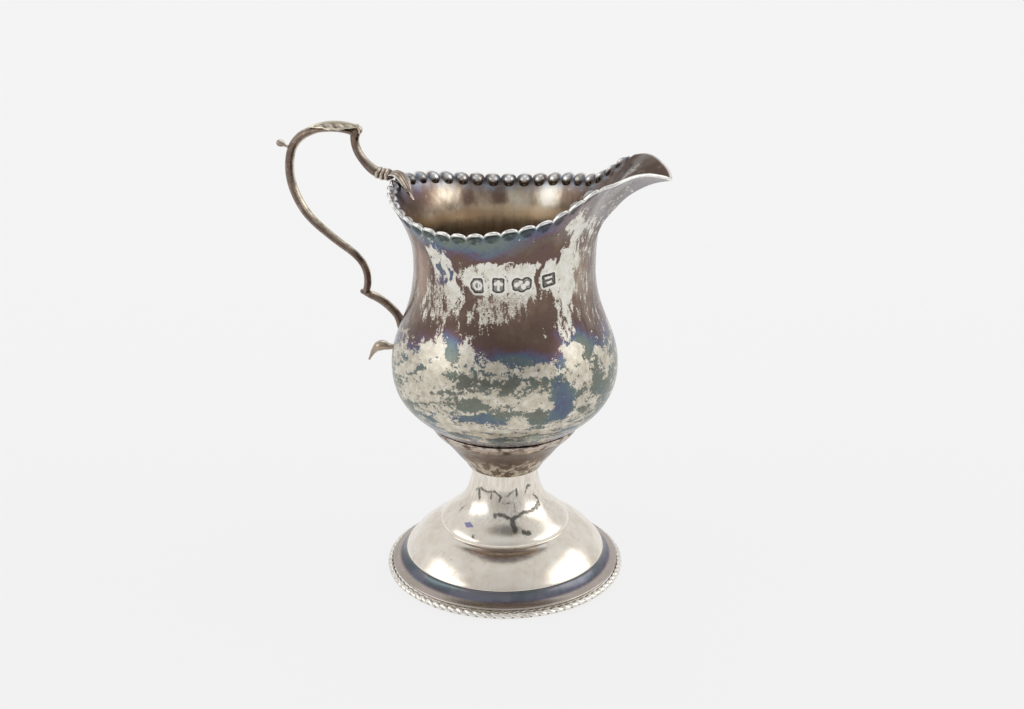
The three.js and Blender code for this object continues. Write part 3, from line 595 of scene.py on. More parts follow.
def inside_material():
    """The inside of the bowl: a warm film, with painted highlights and painted gold reflections under the rim."""
    k = Nodes("bowl_inside")
    p = k.co()
    x, y, z = k.xyz(p)
    s = k.mul(k.math("ARCTAN2", y, x), 24.0)
    warp = k.vec("SCALE", k.vec("SUBTRACT", k.noise(k.stretch(p, 1, 1, 0.5), 0.5, 4, 0.6, color=True), (0.5, 0.5, 0.5)), scale=3.0)
    q = k.vec("ADD", k.join(s, z, 0.0), warp)
    drift = k.noise(k.stretch(p, 1, 1, 0.45, (2, 2, 6)), 0.2, 6, 0.6, distort=0.3)
    streak = k.noise(k.stretch(p, 1, 1, 0.16, (8, 1, 3)), 0.7, 6, 0.6)
    film = k.ramp(k.lerp(z, 34.0, 110.0), [
        (0.0, (0.22,) * 3), (0.35, (0.17,) * 3), (0.60, (0.14,) * 3), (0.69, (0.125,) * 3), (0.72, (0.15,) * 3), (0.76, (0.23,) * 3),
        (0.80, (0.31,) * 3), (0.86, (0.42,) * 3), (0.94, (0.36,) * 3), (1.0, (0.38,) * 3)])
    film = k.add(film, k.mul(k.sub(drift, 0.5), 0.26), k.mul(k.sub(streak, 0.5), 0.20))
    # blobs that thin or thicken the film under the rim: the pale ones high on the far wall are painted highlights,
    # those at height 88 painted gold reflections
    for s0, h0, rs, rh, amount in [
        (60.5, 94.2, 5.0, 2.2, -0.17), (33.6, 93.4, 3.2, 3.2, -0.30), (41.5, 92.5, 3.0, 3.0, -0.10),
        (46.6, 91.6, 2.0, 3.4, 0.16), (55.0, 92.0, 1.6, 3.0, 0.10), (59.8, 88.2, 2.6, 1.2, -0.26), (68.0, 88.0, 1.8, 1.8, -0.20),
        (34.0, 87.9, 3.2, 1.2, -0.20), (-60.0, 94.0, 5.0, 3.0, -0.14), (-33.0, 93.0, 4.0, 3.0, -0.14), (4.0, 104.0, 8.0, 5.0, 0.08),
        (72.0, 97.0, 7.0, 4.5, 0.22), (-72.0, 97.0, 8.0, 4.5, 0.22),
    ]:
        film = k.math("MULTIPLY_ADD", k.blob(q, s0, h0, rs, rh, 0.6), amount, film)
    colour = k.ramp(film, FILM)
    # painted gold reflection in a band at height 88
    gold_reflection = k.mul(k.sstep(k.math("ABSOLUTE", k.sub(k.xyz(q)[1], 88.2)), 2.2, 0.6), 0.60)
    colour = k.mix(gold_reflection, colour, (0.84, 0.65, 0.43))
    patch = k.sstep(k.noise(p, 0.55, 8, 0.66, distort=0.4), 0.60, 0.66)
    colour = k.mix(k.mul(patch, 0.4), colour, (0.62, 0.53, 0.43))
    scratch = k.sstep(k.noise(k.stretch(p, 1.2, 1.2, 0.2, (4, 3, 3)), 2.2, 3, 0.5), 0.68, 0.72)
    colour = k.mix(k.mul(scratch, 0.4), colour, (0.72, 0.66, 0.58))
    nick = k.blob(q, 5.5, 105.6, 1.0, 2.2, 0.4)
    colour = k.mix(k.mul(nick, k.sstep(k.noise(p, 1.6, 4, 0.6), 0.42, 0.52)), colour, (0.72, 0.68, 0.62))
    lip_dark = k.mul(k.sstep(z, 99.5, 102.5), k.sstep(k.math("ABSOLUTE", s), 15.5, 11.0))
    colour = k.mix(k.mul(lip_dark, 0.42), colour, (0.085, 0.068, 0.056))
    boss, edge = k.attr("boss"), k.attr("edge")
    rim_sheen = k.attr("rim_sheen")
    # painted bluish-grey sheen on the inner face near the rim
    bluish_sheen = k.ramp(k.noise(p, 0.5, 3, 0.5), [(0.35, (0.26, 0.205, 0.185)), (0.5, (0.30, 0.30, 0.33)), (0.65, (0.36, 0.45, 0.54))])
    colour = k.mix(k.mul(rim_sheen, 0.7), colour, bluish_sheen)
    # painted shade: near-black gaps between the beads
    colour = k.mix(k.math("MULTIPLY", k.attr("between"), 0.95, clamp=True), colour, (0.028, 0.028, 0.032))
    tone = k.ramp(k.noise(p, 0.26, 3, 0.6), [(0.38, (0.48, 0.44, 0.38)), (0.50, (0.78, 0.77, 0.76)), (0.62, (0.90, 0.90, 0.90))])
    # painted shadow of the handle on the beads nearest it
    shade = k.sstep(k.math("ABSOLUTE", s), 62.0, 70.0)
    colour = k.mix(boss, colour, k.mix(k.mul(shade, 0.8), tone, (0.16, 0.155, 0.15)))
    # painted highlight along the cut edge
    colour = k.mix(k.mul(edge, 0.9), colour, (0.86, 0.84, 0.80))
    rough = k.add(k.lerp(drift, 0.3, 0.7, 0.26, 0.36), k.mul(boss, -0.04))
    n = k.bump(k.add(k.noise(p, 0.35, 3, 0.5), k.mul(patch, 0.2)), 0.25, 0.0001)
    return k.finish(colour, rough, 1.0, n)


def foot_material():
    """Polished stem and dome, with dark runs under the collar, a tarnished hollow and flange; the hollow is darkened
    further as a painted dark reflection.
    """
    k = Nodes("polished_foot")
    p = k.co()
    x, y, z = k.xyz(p)
    r = k.math("SQRT", k.add(k.mul(x, x), k.mul(y, y)))
    s = k.mul(k.math("ARCTAN2", y, x), 12.0)
    tone = k.noise(p, 0.22, 5, 0.6)
    fine = k.noise(k.stretch(p, 1, 1, 1, (9, 9, 2)), 1.6, 5, 0.65)
    colour = k.ramp(tone, [(0.30, (0.76, 0.68, 0.58)), (0.5, (0.84, 0.775, 0.685)), (0.7, (0.89, 0.85, 0.775))])
    haze = k.sstep(k.noise(k.stretch(p, 1, 1, 0.5, (3, 1, 1)), 0.5, 7, 0.62), 0.54, 0.70)
    colour = k.mix(k.mul(haze, 0.35), colour, (0.62, 0.52, 0.42))

    # runs and their ragged dark outlines on the stem
    marks = k.add(k.attr("marks"), k.mul(k.sub(k.noise(p, 1.3, 5, 0.68), 0.5), 1.25))
    stain = k.sstep(marks, 0.28, -0.14)
    smear = k.mul(k.sstep(marks, 1.3, 0.0), k.sstep(k.noise(p, 1.7, 4, 0.6), 0.50, 0.66), 0.5)
    dots = k.mul(k.sstep(k.noise(k.stretch(p, 1, 1, 1, (2, 7, 1)), 1.1, 4, 0.6), 0.68, 0.71), k.sstep(z, 27.0, 20.0), 0.7)
    stain = k.math("MAXIMUM", k.math("MAXIMUM", stain, smear), dots)
    stain_colour = k.ramp(k.noise(p, 0.45, 2, 0.5), [(0.40, (0.055, 0.043, 0.034)), (0.52, (0.050, 0.066, 0.050)), (0.64, (0.048, 0.050, 0.055))])
    colour = k.mix(k.mul(stain, 0.86), colour, stain_colour)
    lozenge = k.sstep(k.add(k.attr("lozenge"), k.mul(k.sub(k.noise(p, 1.6, 4, 0.65), 0.5), 0.8)), 1.10, 0.80)
    colour = k.mix(k.mul(lozenge, 0.80), colour, (0.17, 0.17, 0.42))
    # a dull, greyer bloom in patches over the stem, fading in between heights 15.5 and 18.5 mm
    bloom = k.mul(k.sstep(k.noise(k.stretch(p, 1.4, 1.4, 0.22, (5, 5, 5)), 0.9, 5, 0.6), 0.46, 0.60), k.sstep(z, 15.5, 18.5))
    colour = k.mix(k.mul(bloom, 0.30), colour, (0.46, 0.42, 0.38))

    # the hollow under the dome and the flat flange hold a heavy film; in the hollow it is darker still, a painted dark
    # reflection
    hollow = k.attr("border")
    drift = k.noise(p, 0.14, 4, 0.55)
    film = k.add(k.ramp(k.lerp(r, 24.5, 29.0), [(0.0, (0.94,) * 3), (0.12, (0.84,) * 3), (0.26, (0.74,) * 3), (0.42, (0.66,) * 3), (0.56, (0.58,) * 3), (0.70, (0.44,) * 3), (1.0, (0.34,) * 3)]),
                 k.mul(k.sub(drift, 0.5), 0.46), k.mul(k.sub(fine, 0.5), 0.12))
    tarnish = k.ramp(film, FILM)
    # slate film in the hollow: its darkness is partly tarnish and partly a painted dark reflection
    slate = k.mix(k.sstep(drift, 0.42, 0.58), (0.105, 0.130, 0.135), (0.185, 0.170, 0.21))
    tarnish = k.mix(k.sstep(r, 27.2, 26.2, 0.0, 0.75), tarnish, slate)
    tarnish = k.mix(k.sstep(r, 26.5, 27.4, 0.0, 0.88), tarnish, k.mix(k.sstep(drift, 0.40, 0.60), (0.54, 0.47, 0.44), (0.48, 0.44, 0.38)))
    paler_film = k.sstep(k.noise(k.stretch(p, 1, 1, 1, (1, 5, 5)), 0.8, 7, 0.66), 0.57, 0.66)
    tarnish = k.mix(k.mul(paler_film, k.sstep(r, 26.0, 27.5), 0.45), tarnish, (0.60, 0.55, 0.49))
    colour = k.mix(hollow, colour, tarnish)
    under = k.attr("under")
    dull = k.ramp(k.add(0.33, k.mul(k.sub(k.noise(p, 0.2, 6, 0.6), 0.5), 0.5)), FILM)
    colour = k.mix(under, colour, dull)

    scratch = k.noise(k.stretch(p, 1, 1, 6.0, (0, 0, 0)), 0.9, 4, 0.6)
    rough = k.add(k.lerp(tone, 0.3, 0.7, 0.15, 0.21), k.mul(haze, 0.05), k.mul(stain, 0.15), k.mul(hollow, 0.05), k.mul(under, 0.2))
    n = k.bump(k.add(k.mul(k.noise(p, 0.16, 3, 0.5), 1.0), k.mul(scratch, 0.12), k.mul(stain, 0.15)), 0.20, 0.00012)
    return k.finish(colour, rough, 1.0, n)


def collar_material():
    k = Nodes("dark_collar")
    p = k.co()
    x, y, z = k.xyz(p)
    n1 = k.noise(k.stretch(p, 1, 1, 0.8, (3, 3, 3)), 0.5, 8, 0.66, distort=0.4)
    film = k.add(k.lerp(z, 28.0, 40.0, 0.30, 0.40), k.mul(k.sub(k.noise(p, 0.2, 5, 0.6), 0.5), 0.30))
    colour = k.mix(0.35, k.ramp(film, FILM), (0.09, 0.065, 0.05))
    pale = k.math("MULTIPLY", k.sstep(n1, 0.485, 0.545), k.sstep(z, 35.4, 31.6), clamp=True)
    ring = k.mul(k.sstep(z, 37.9, 39.4), k.sstep(k.noise(k.stretch(p, 1, 1, 2, (6, 1, 1)), 0.4, 5, 0.6), 0.38, 0.56), 0.85)
    thin = k.sstep(k.noise(k.stretch(p, 0.7, 0.7, 1.6, (1, 1, 1)), 0.6, 8, 0.66), 0.60, 0.65)
    colour = k.mix(k.mul(pale, 0.85), colour, (0.72, 0.66, 0.56))
    colour = k.mix(k.math("MAXIMUM", k.mul(thin, 0.5), ring), colour, (0.62, 0.54, 0.46))
    rough = k.mixf(pale, 0.27, 0.36)
    return k.finish(colour, rough, 1.0, k.bump(k.add(n1, k.mul(k.noise(p, 1.5, 4, 0.6), 0.4)), 0.25, 0.0001))


def rope_material():
    k = Nodes("rope_silver")
    p = k.co()
    x, y, z = k.xyz(p)
    groove = k.attr("groove")
    tone = k.noise(p, 0.5, 4, 0.6)
    colour = k.ramp(tone, [(0.3, (0.62, 0.56, 0.48)), (0.5, (0.82, 0.78, 0.72)), (0.7, (0.90, 0.88, 0.84))])
    # painted shade in the grooves, stronger on the lower side, with patches of dirt
    groove_shade_and_dirt = k.math("ADD", k.sstep(groove, 0.25, 0.75), k.mul(k.sstep(k.noise(p, 1.3, 4, 0.6), 0.55, 0.7), 0.3), clamp=True)
    colour = k.mix(k.mul(groove_shade_and_dirt, 0.9), colour, (0.075, 0.062, 0.052))
    return k.finish(colour, k.add(0.20, k.mul(groove_shade_and_dirt, 0.25)), 1.0, k.bump(k.noise(p, 1.4, 3, 0.5), 0.15, 0.00006))


def cast_material(name, film_mid, film_range, pale_amount, warm=(0.70, 0.62, 0.50)):
    """Cast handle metal: a film, with painted shade in the hollows and a painted highlight along the arrises."""
    k = Nodes(name)
    p = k.co()
    x, y, z = k.xyz(p)
    drift = k.noise(k.stretch(p, 1, 1, 0.6, (6, 1, 2)), 0.16, 5, 0.6)
    mottle = k.noise(p, 0.8, 6, 0.62)
    film = k.add(film_mid, k.mul(k.sub(drift, 0.5), film_range), k.mul(k.sub(mottle, 0.5), 0.16))
    colour = k.ramp(film, FILM)
    arris = k.attr("arris")
    hollow = k.attr("hollow")
    # painted highlight along the arrises, broken up by noise
    arris_highlight = k.math("MULTIPLY", arris, k.sstep(k.noise(p, 0.45, 5, 0.6), 0.34, 0.58, 0.35, 1.0), clamp=True)
    colour = k.mix(k.mul(arris_highlight, 0.85), colour, warm)
    patch = k.sstep(k.noise(k.stretch(p, 1, 1, 1, (2, 8, 8)), 0.6, 8, 0.66, distort=0.3), 0.55, 0.62)
    colour = k.mix(k.mul(patch, pale_amount), colour, (0.74, 0.69, 0.60))
    # painted shade in the hollows
    colour = k.mix(k.mul(hollow, 0.85), colour, (0.04, 0.033, 0.028))
    rough = k.add(k.lerp(drift, 0.3, 0.7, 0.22, 0.32), k.mul(hollow, 0.2))
    n = k.bump(k.add(mottle, k.mul(k.noise(p, 0.3, 2, 0.5), 0.8)), 0.3, 0.0001)
    return k.finish(colour, rough, 1.0, n)


MAT_BOWL = bowl_material()
MAT_INSIDE = inside_material()
MAT_FOOT = foot_material()
MAT_COLLAR = collar_material()
MAT_ROPE = rope_material()
MAT_SCROLL = cast_material("cast_scroll", 0.42, 0.50, 0.18, (0.90, 0.82, 0.66))
MAT_TERMINAL = cast_material("cast_terminal", 0.26, 0.40, 0.35, (0.86, 0.84, 0.76))
MAT_NECK = cast_material("cast_neck", 0.44, 0.30, 0.12, (0.74, 0.68, 0.56))
MAT_LEAF = cast_material("cast_leaf", 0.13, 0.26, 0.35, (0.80, 0.76, 0.62))
MAT_TONGUE = cast_material("cast_tongue", 0.24, 0.30, 0.35, (0.84, 0.81, 0.75))

# ------------------------------------------------------------------ the bowl

NECK_R, NECK_Z = 22.12, 80.0
BELLY = [
    (0, 35.7), (5, 36.75), (10, 38.05), (14.5, 39.35), (18, 40.75), (21.1, 42.9), (24.3, 45.9), (26.55, 49.2),
    (27.7, 53), (27.95, 57), (27.4, 61), (26.05, 65), (24.2, 69.8), (22.75, 75), (22.12, 80), (22.35, 85),
]
SIDE = [(0, 0), (0.004, 0.12), (0.02, 0.26), (0.08, 0.40), (0.20, 0.53), (0.37, 0.66), (0.56, 0.78), (0.78, 0.90), (1, 1)]
LIP = [(0, 0), (0.0, 0.12), (0.012, 0.27), (0.05, 0.41), (0.14, 0.56), (0.28, 0.69), (0.42, 0.80), (0.60, 0.895), (0.80, 0.965), (1, 1)]
RIM = [  # angle from the lip, radius, height of the top edge
    (0, 40.6, 106.3), (2.0, 40.22, 106.85), (3.5, 39.67, 107.35), (5.15, 38.96, 107.8), (6.8, 38.17, 108.2),
    (8.3, 37.4, 108.5), (10.5, 36.6, 108.7), (12.9, 35.8, 108.8), (15.7, 35.05, 108.7), (20.3, 34.15, 108.25),
    (24.0, 33.3, 107.75), (27.5, 31.6, 107.0), (33.9, 29.2, 104.5), (40.1, 27.6, 102.3), (46.6, 26.6, 100.5),
    (55.3, 26.2, 99.4), (65.7, 26.15, 98.6), (76.2, 26.15, 97.8), (88.7, 26.1, 96.9), (110, 26.2, 96.4),
    (135, 27.0, 97.4), (160, 28.1, 99.4), (180, 28.5, 100.2),
]
SCALLOPS, PLAIN_DEG = 18, 27.5
WALL = 0.6
PITCH_COLS = 16


def rim(deg):
    a = np.abs((np.asarray(deg, float) + 180) % 360 - 180)
    xs = [-d for d, _, _ in RIM[:0:-1]] + [d for d, _, _ in RIM] + [360 - d for d, _, _ in RIM[-2::-1]]
    rs = [r for _, r, _ in RIM[:0:-1]] + [r for _, r, _ in RIM] + [r for _, r, _ in RIM[-2::-1]]
    zs = [z for _, _, z in RIM[:0:-1]] + [z for _, _, z in RIM] + [z for _, _, z in RIM[-2::-1]]
    return spline(xs, rs, a), spline(xs, zs, a)


def flare(deg, steps=520):
    """Outside of the wall above the neck, for each angle: [angle, step, (x, y, z)]."""
    deg = np.asarray(deg, float)
    side = smooth_line([(a * 12, b * 20) for a, b in SIDE], steps) / (12, 20)
    lip = smooth_line([(a * 12, b * 20) for a, b in LIP], steps) / (12, 20)
    away = np.abs((deg + 180) % 360 - 180)
    w = step01(1 - away / 44, 0, 1)[:, None]
    g = w * lip[:, 0] + (1 - w) * side[:, 0]
    h = w * lip[:, 1] + (1 - w) * side[:, 1]
    r, z = rim(deg)
    R = NECK_R + (r[:, None] - NECK_R) * g
    Z = NECK_Z + (z[:, None] - NECK_Z) * h
    a = np.radians(deg)[:, None]
    return np.stack([R * np.cos(a), R * np.sin(a), Z], -1)


def rim_columns():
    """Angles of the bowl's columns, each with its place in its scallop (-1..1, or None)."""
    lin = np.linspace(PLAIN_DEG, 180, 3000)
    top = flare(lin, 40)[:, -1]
    run = np.concatenate([[0], np.cumsum(np.linalg.norm(np.diff(top, axis=0), axis=1))])
    n = SCALLOPS * PITCH_COLS
    k = np.arange(n + 1)
    half = np.interp(run[-1] * k / n, run, lin)
    u = ((k % PITCH_COLS) / PITCH_COLS) * 2 - 1  # -1 at a cusp, 0 in the middle
    lead = np.linspace(0, 1, 49)[:-1] ** 1.25 * PLAIN_DEG
    deg = np.concatenate([lead, half])
    pos = np.concatenate([np.full(len(lead), 9.0), u])
    pos[-1] = -1
    deg2 = np.concatenate([deg, 360 - deg[-2:0:-1]])
    pos2 = np.concatenate([pos, np.where(pos[-2:0:-1] == 9.0, 9.0, -pos[-2:0:-1])])
    return deg2, pos2, run[-1] / SCALLOPS


def make_bowl():
    deg, pos, pitch = rim_columns()
    cols = len(deg)
    a = np.radians(deg)
    F = flare(deg)
    # low-frequency unevenness of a raised and planished wall
    belly = smooth_line(BELLY[:-1], 360)
    L = np.stack([belly[None, :, 0] * np.cos(a)[:, None], belly[None, :, 0] * np.sin(a)[:, None],
                  np.repeat(belly[None, :, 1], cols, 0)], -1)
    S = np.concatenate([L[:, :-1], F], 1)  # [col, step, 3]

    def wave(A, Z):
        return (0.045 * np.sin(3 * A + 0.7 + Z * 0.05) * np.sin(Z * 0.16 + 1.1)
                + 0.030 * np.sin(5 * A + 2.1 - Z * 0.11) + 0.022 * np.sin(9 * A + Z * 0.35))

    rad = np.hypot(S[..., 0], S[..., 1])
    wv = wave(a[:, None], S[..., 2]) * step01(rad, 6, 16) * (1 - step01(S[..., 2], 92, 97))
    S[..., 0] += wv * np.cos(a)[:, None]
    S[..., 1] += wv * np.sin(a)[:, None]
    du = np.roll(S, -1, 0) - np.roll(S, 1, 0)
    dv = np.gradient(S, axis=1)
    N = np.cross(du, dv)
    N[:, 0] = (0, 0, -1)
    N /= np.maximum(np.linalg.norm(N, axis=-1, keepdims=True), 1e-9)
    seg = np.linalg.norm(np.diff(S, axis=1), axis=-1)
    run = np.concatenate([np.zeros((cols, 1)), np.cumsum(seg, 1)], 1)
    neck = belly.shape[0] - 1
    base = run[:, neck]  # same for all columns
    total = run[:, -1]

    scal = (pos < 5).astype(float)
    u = np.where(pos < 5, pos, 0.0)
    notch = scal * 1.18 * (1 - np.sqrt(1 - (0.965 * u) ** 2)) / (1 - math.sqrt(1 - 0.965**2))
    away = np.abs((deg + 180) % 360 - 180)
    TOP = 3.8

    def rows(n_belly, n_mid, n_top):
        out = []
        for t in np.linspace(0, 1, n_belly)[1:]:
            out.append(base * t)
        for t in np.linspace(0, 1, n_mid + 1)[1:]:
            out.append(base + (total - TOP - base) * t)
        drops = []
        for t in np.linspace(0, 1, n_top + 1)[1:]:
            d = TOP * (1 - t)
            d_eff = d + notch * (1 - d / TOP) ** 1.4
            out.append(total - d_eff)
            drops.append(d_eff)
        return out, drops

    def sample(out):
        P = np.empty((len(out), cols, 3))
        M = np.empty((len(out), cols, 3))
        rr = np.stack(out)
        for c in range(cols):
            for kk in range(3):
                P[:, c, kk] = np.interp(rr[:, c], run[c], S[c, :, kk])
                M[:, c, kk] = np.interp(rr[:, c], run[c], N[c, :, kk])
        M /= np.linalg.norm(M, axis=-1, keepdims=True)
        return P, M

    def relief(out, wide, high, mid, power):
        D = total[None, :] - np.stack(out)
        e = ((u[None, :] * pitch / 2) / wide) ** 2 + ((D - mid) / high) ** 2
        return scal[None, :] * np.clip(1 - e, 0, 1) ** power, D

    o_rows, _ = rows(96, 46, 20)
    PO, NO = sample(o_rows)
    dimple, D = relief(o_rows, 1.74, 1.22, 1.66, 0.72)
    outer = PO - NO * (0.80 * dimple)[..., None]
    i_rows, _ = rows(70, 34, 20)
    PI, NI = sample(i_rows)
    boss, DI = relief(i_rows, 1.42, 1.42, 1.62, 0.62)
    ring = np.clip(1 - np.abs(DI - 1.6) / 1.9, 0, 1) * scal[None, :]
    gauge = WALL + 0.16 * step01(DI, 4.0, 1.0)
    inner = PI - NI * (gauge + 0.98 * boss)[..., None]

    # rounded edge between the two faces
    To, Ti = outer[-1], inner[-1]
    mid, half = (To + Ti) / 2, (To - Ti) / 2
    up = PO[-1] - PO[-3]
    up /= np.linalg.norm(up, axis=-1, keepdims=True)
    lipr = np.linalg.norm(half, axis=-1, keepdims=True)
    caps = [mid + half * math.cos(f) + up * lipr * 0.8 * math.sin(f) for f in np.radians([36, 72, 108, 144])]
    stack = [outer.reshape(-1, 3), np.concatenate(caps), inner[::-1].reshape(-1, 3)]
    n_rows = len(o_rows) + 4 + len(i_rows)
    V = np.concatenate([*stack, [[0, 0, BELLY[0][1]]], [[0, 0, BELLY[0][1] + WALL]]])
    Q = grid(n_rows, cols)
    j = np.arange(cols)
    j2 = (j + 1) % cols
    b0, b1 = len(V) - 2, len(V) - 1
    last = (n_rows - 1) * cols
    T = np.concatenate([np.stack([np.full(cols, b0), j2, j], 1), np.stack([np.full(cols, b1), last + j, last + j2], 1)])
    slots = np.concatenate([np.repeat((np.arange(n_rows - 1) >= len(o_rows) + 2).astype(int), cols),
                            np.zeros(cols, int), np.ones(cols, int)])

    def attr(o, c, i):
        return np.concatenate([o.ravel(), np.repeat(c, cols) if np.ndim(c) == 1 else c.ravel(), i[::-1].ravel(), [0, 0]])

    zero_o, zero_i = np.zeros_like(dimple), np.zeros_like(boss)
    plain_edge = np.where(scal > 0, 1.0, 0.9)[None, :]
    # masks for a painted highlight along the cut edge, outside and inside
    e_o = step01(D, 0.36, 0.08) * plain_edge
    e_i = step01(DI, 0.45, 0.05) * 0.8 * plain_edge
    attrs = {
        # dimple: where painted shade darkens the outer dimples
        "dimple": attr(dimple**0.6, np.zeros(4), zero_i),
        # edge: where a painted highlight brightens the cut edge
        "edge": attr(e_o, np.ones(4), e_i),
        "boss": attr(zero_o, np.zeros(4), np.clip(boss * 1.3 - 0.3, 0, 1)),
        # where a painted bluish-grey sheen lies on the inner face near the rim
        "rim_sheen": attr(zero_o, np.ones(4) * 0.3, step01(DI, 5.5, 2.5) * scal[None, :]),
        # between: where painted shade darkens the gaps between the beads
        "between": attr(zero_o, np.zeros(4), np.clip(ring * 1.4 - 0.3, 0, 1) * (1 - step01(boss, 0.0, 0.25)) * 0.9),
    }
    region_of = {"patch": (WORN, 0.4), "spot": (DRIFTS, 0.7), "rusty": (RUSTY, 0.6), "teal": (TEAL, 0.6),
                 "side_rub_and_sheen": (SIDE_RUB_AND_SHEEN, 0.6), "rippled": (RIPPLED, 0.5)}
    for key, (places, soft) in region_of.items():
        attrs[key] = region(V, places, soft)
    return build("bowl_raised", V, Q, T, [MAT_BOWL, MAT_INSIDE], slots, attrs, "tarnished_silver", ["bowl"])


bowl = make_bowl()

# ------------------------------------------------------------------ foot and collar

collar_profile = dense([
    (8.95, 28.45), (9.4, 28.75), (9.65, 29.2), (10.15, 30.0), (11.3, 31.4), (13.4, 34.1), (16.0, 37.1),
    (18.6, 40.3), (18.75, 40.9), (17.6, 40.6), (15.4, 37.8), (12.6, 34.7), (10.4, 31.9), (9.0, 30.2), (8.1, 29.5),
    (7.45, 28.6), (8.0, 28.35), (8.95, 28.45)], 0.3, corners=(2, 8, 9))[:-1]
collar = lathe("stem_cup", collar_profile, 200, materials=[MAT_COLLAR], slot="dark_silver", replaces=["stem_collar"])

foot_out = dense([
    (8.65, 28.45), (8.4, 26.8), (8.6, 24.6), (9.2, 22.4), (10.15, 20.0), (11.55, 18.0), (13.1, 16.5), (14.55, 15.3), (15.65, 14.3), (16.3, 13.4),
    (16.45, 12.85),
    (16.38, 12.62),
    (16.55, 12.5), (16.85, 12.52), (17.0, 12.42),
    (17.6, 12.05), (18.5, 11.65), (19.6, 11.05), (20.7, 10.3), (21.8, 9.4), (22.9, 8.3), (23.8, 7.25), (24.5, 6.4), (25.0, 5.7), (25.2, 5.35),
    (25.22, 5.2), (25.05, 5.05),
    (25.1, 4.75), (25.45, 4.2), (26.0, 3.65), (26.6, 3.2), (27.3, 2.85), (28.0, 2.6),
    (28.6, 2.45), (28.86, 2.3), (28.9, 2.1), (28.8, 1.95),
], 0.22, corners=(10, 11, 14, 24, 26, 32))
foot_in = dense([
    (28.8, 1.95), (26.2, 1.95), (24.6, 2.5), (24.2, 3.3), (23.9, 4.5), (22.9, 6.0), (21.3, 7.9), (19.5, 9.6), (17.0, 11.3),
    (15.0, 13.1), (12.95, 15.0), (10.95, 17.4), (9.5, 19.7), (8.45, 22.1), (7.75, 24.6), (7.5, 26.5), (7.6, 28.45), (8.65, 28.45)], 0.6, corners=(16,))
foot_profile = np.concatenate([foot_out, foot_in[1:-1]])
FOOT_COLS = 360
under = np.concatenate([np.zeros(len(foot_out)), np.ones(len(foot_in) - 2)])
border = ((foot_profile[:, 1] < 5.10) & (foot_profile[:, 0] > 24.5)).astype(float)


def foot_wobble(R, Z, A):
    k = 0.035 * np.sin(2 * A + 0.5) + 0.02 * np.sin(5 * A + 1.7 + Z * 0.2) + 0.012 * np.sin(11 * A + Z)
    return R + k * step01(R, 7, 14) * (1 - step01(R, 26, 28.0)), Z + 0.02 * np.sin(3 * A + R * 0.2) * step01(R, 10, 16)


_a = np.tile(np.linspace(0, 2 * np.pi, FOOT_COLS, endpoint=False), len(foot_profile))
_s12 = ((_a + np.pi) % (2 * np.pi) - np.pi) * 12
_h12 = np.repeat(foot_profile[:, 1], FOOT_COLS)
_outside = np.repeat(np.arange(len(foot_profile)) < len(foot_out), FOOT_COLS)
marks = np.where(_outside, stroke_distance(_s12, _h12, STEM_RUNS), 9.0)
lozenge = np.where(_outside, np.abs(_s12 + 23.7) * 0.62 + np.abs(_h12 - 15.95) * 1.7, 9.0)

foot = lathe("foot_raised", foot_profile, FOOT_COLS, wobble=foot_wobble, materials=[MAT_FOOT],
             attrs={"under": np.repeat(under, FOOT_COLS), "border": np.repeat(border, FOOT_COLS), "marks": marks, "lozenge": lozenge}, slot="bright_silver", replaces=["foot"])

wire_profile = dense([(25.55, 0.2), (25.75, 0.0), (27.5, 0.0), (27.7, 0.2), (27.7, 1.9), (27.5, 2.05), (26.1, 2.05), (25.55, 1.85), (25.55, 0.2)], 0.25, corners=(1, 2, 4, 5, 7))[:-1]
base_wire = lathe("foot_stand_ring", wire_profile, 220, materials=[MAT_ROPE],
                  attrs={"groove": np.repeat(np.full(len(wire_profile), 0.1), 220)}, slot="bright_silver", replaces=["foot_base_wire"])


def make_rope():
    lobes, per, ring = 84, 14, 24
    cols = lobes * per
    uu = np.linspace(0, 2 * np.pi, cols, endpoint=False)[None, :]
    vv = np.linspace(0, 2 * np.pi, ring, endpoint=False)[:, None]
    ph = lobes * uu / 2 + vv  # lobes lie aslant, like a twisted cord
    lobe = np.abs(np.sin(ph))
    lobe = np.clip(lobe, 0, 1) ** 0.70
    r = 0.56 + 0.29 * lobe + 0.012 * np.sin(uu * 37)
    R = 29.35 + r * np.cos(vv)
    Z = 0.90 + r * np.sin(vv)
    V = np.stack([R * np.cos(uu), R * np.sin(uu), Z], -1).reshape(-1, 3)
    # painted shade: the grooves between the lobes, darker on the rope's lower side
    low_side = step01(-np.sin(vv) + 0 * uu, -0.35, 0.45)
    groove = np.clip(1 - lobe * 1.15, 0, 1) ** 0.8 * (0.25 + 0.75 * low_side)
    return build("foot_rope", V, grid(ring, cols, wrap_rows=True, flip=True), materials=[MAT_ROPE], attrs={"groove": groove},
                 slot="bright_silver", replaces=["foot_rope_border"])


rope = make_rope()

# ------------------------------------------------------------------ the handle


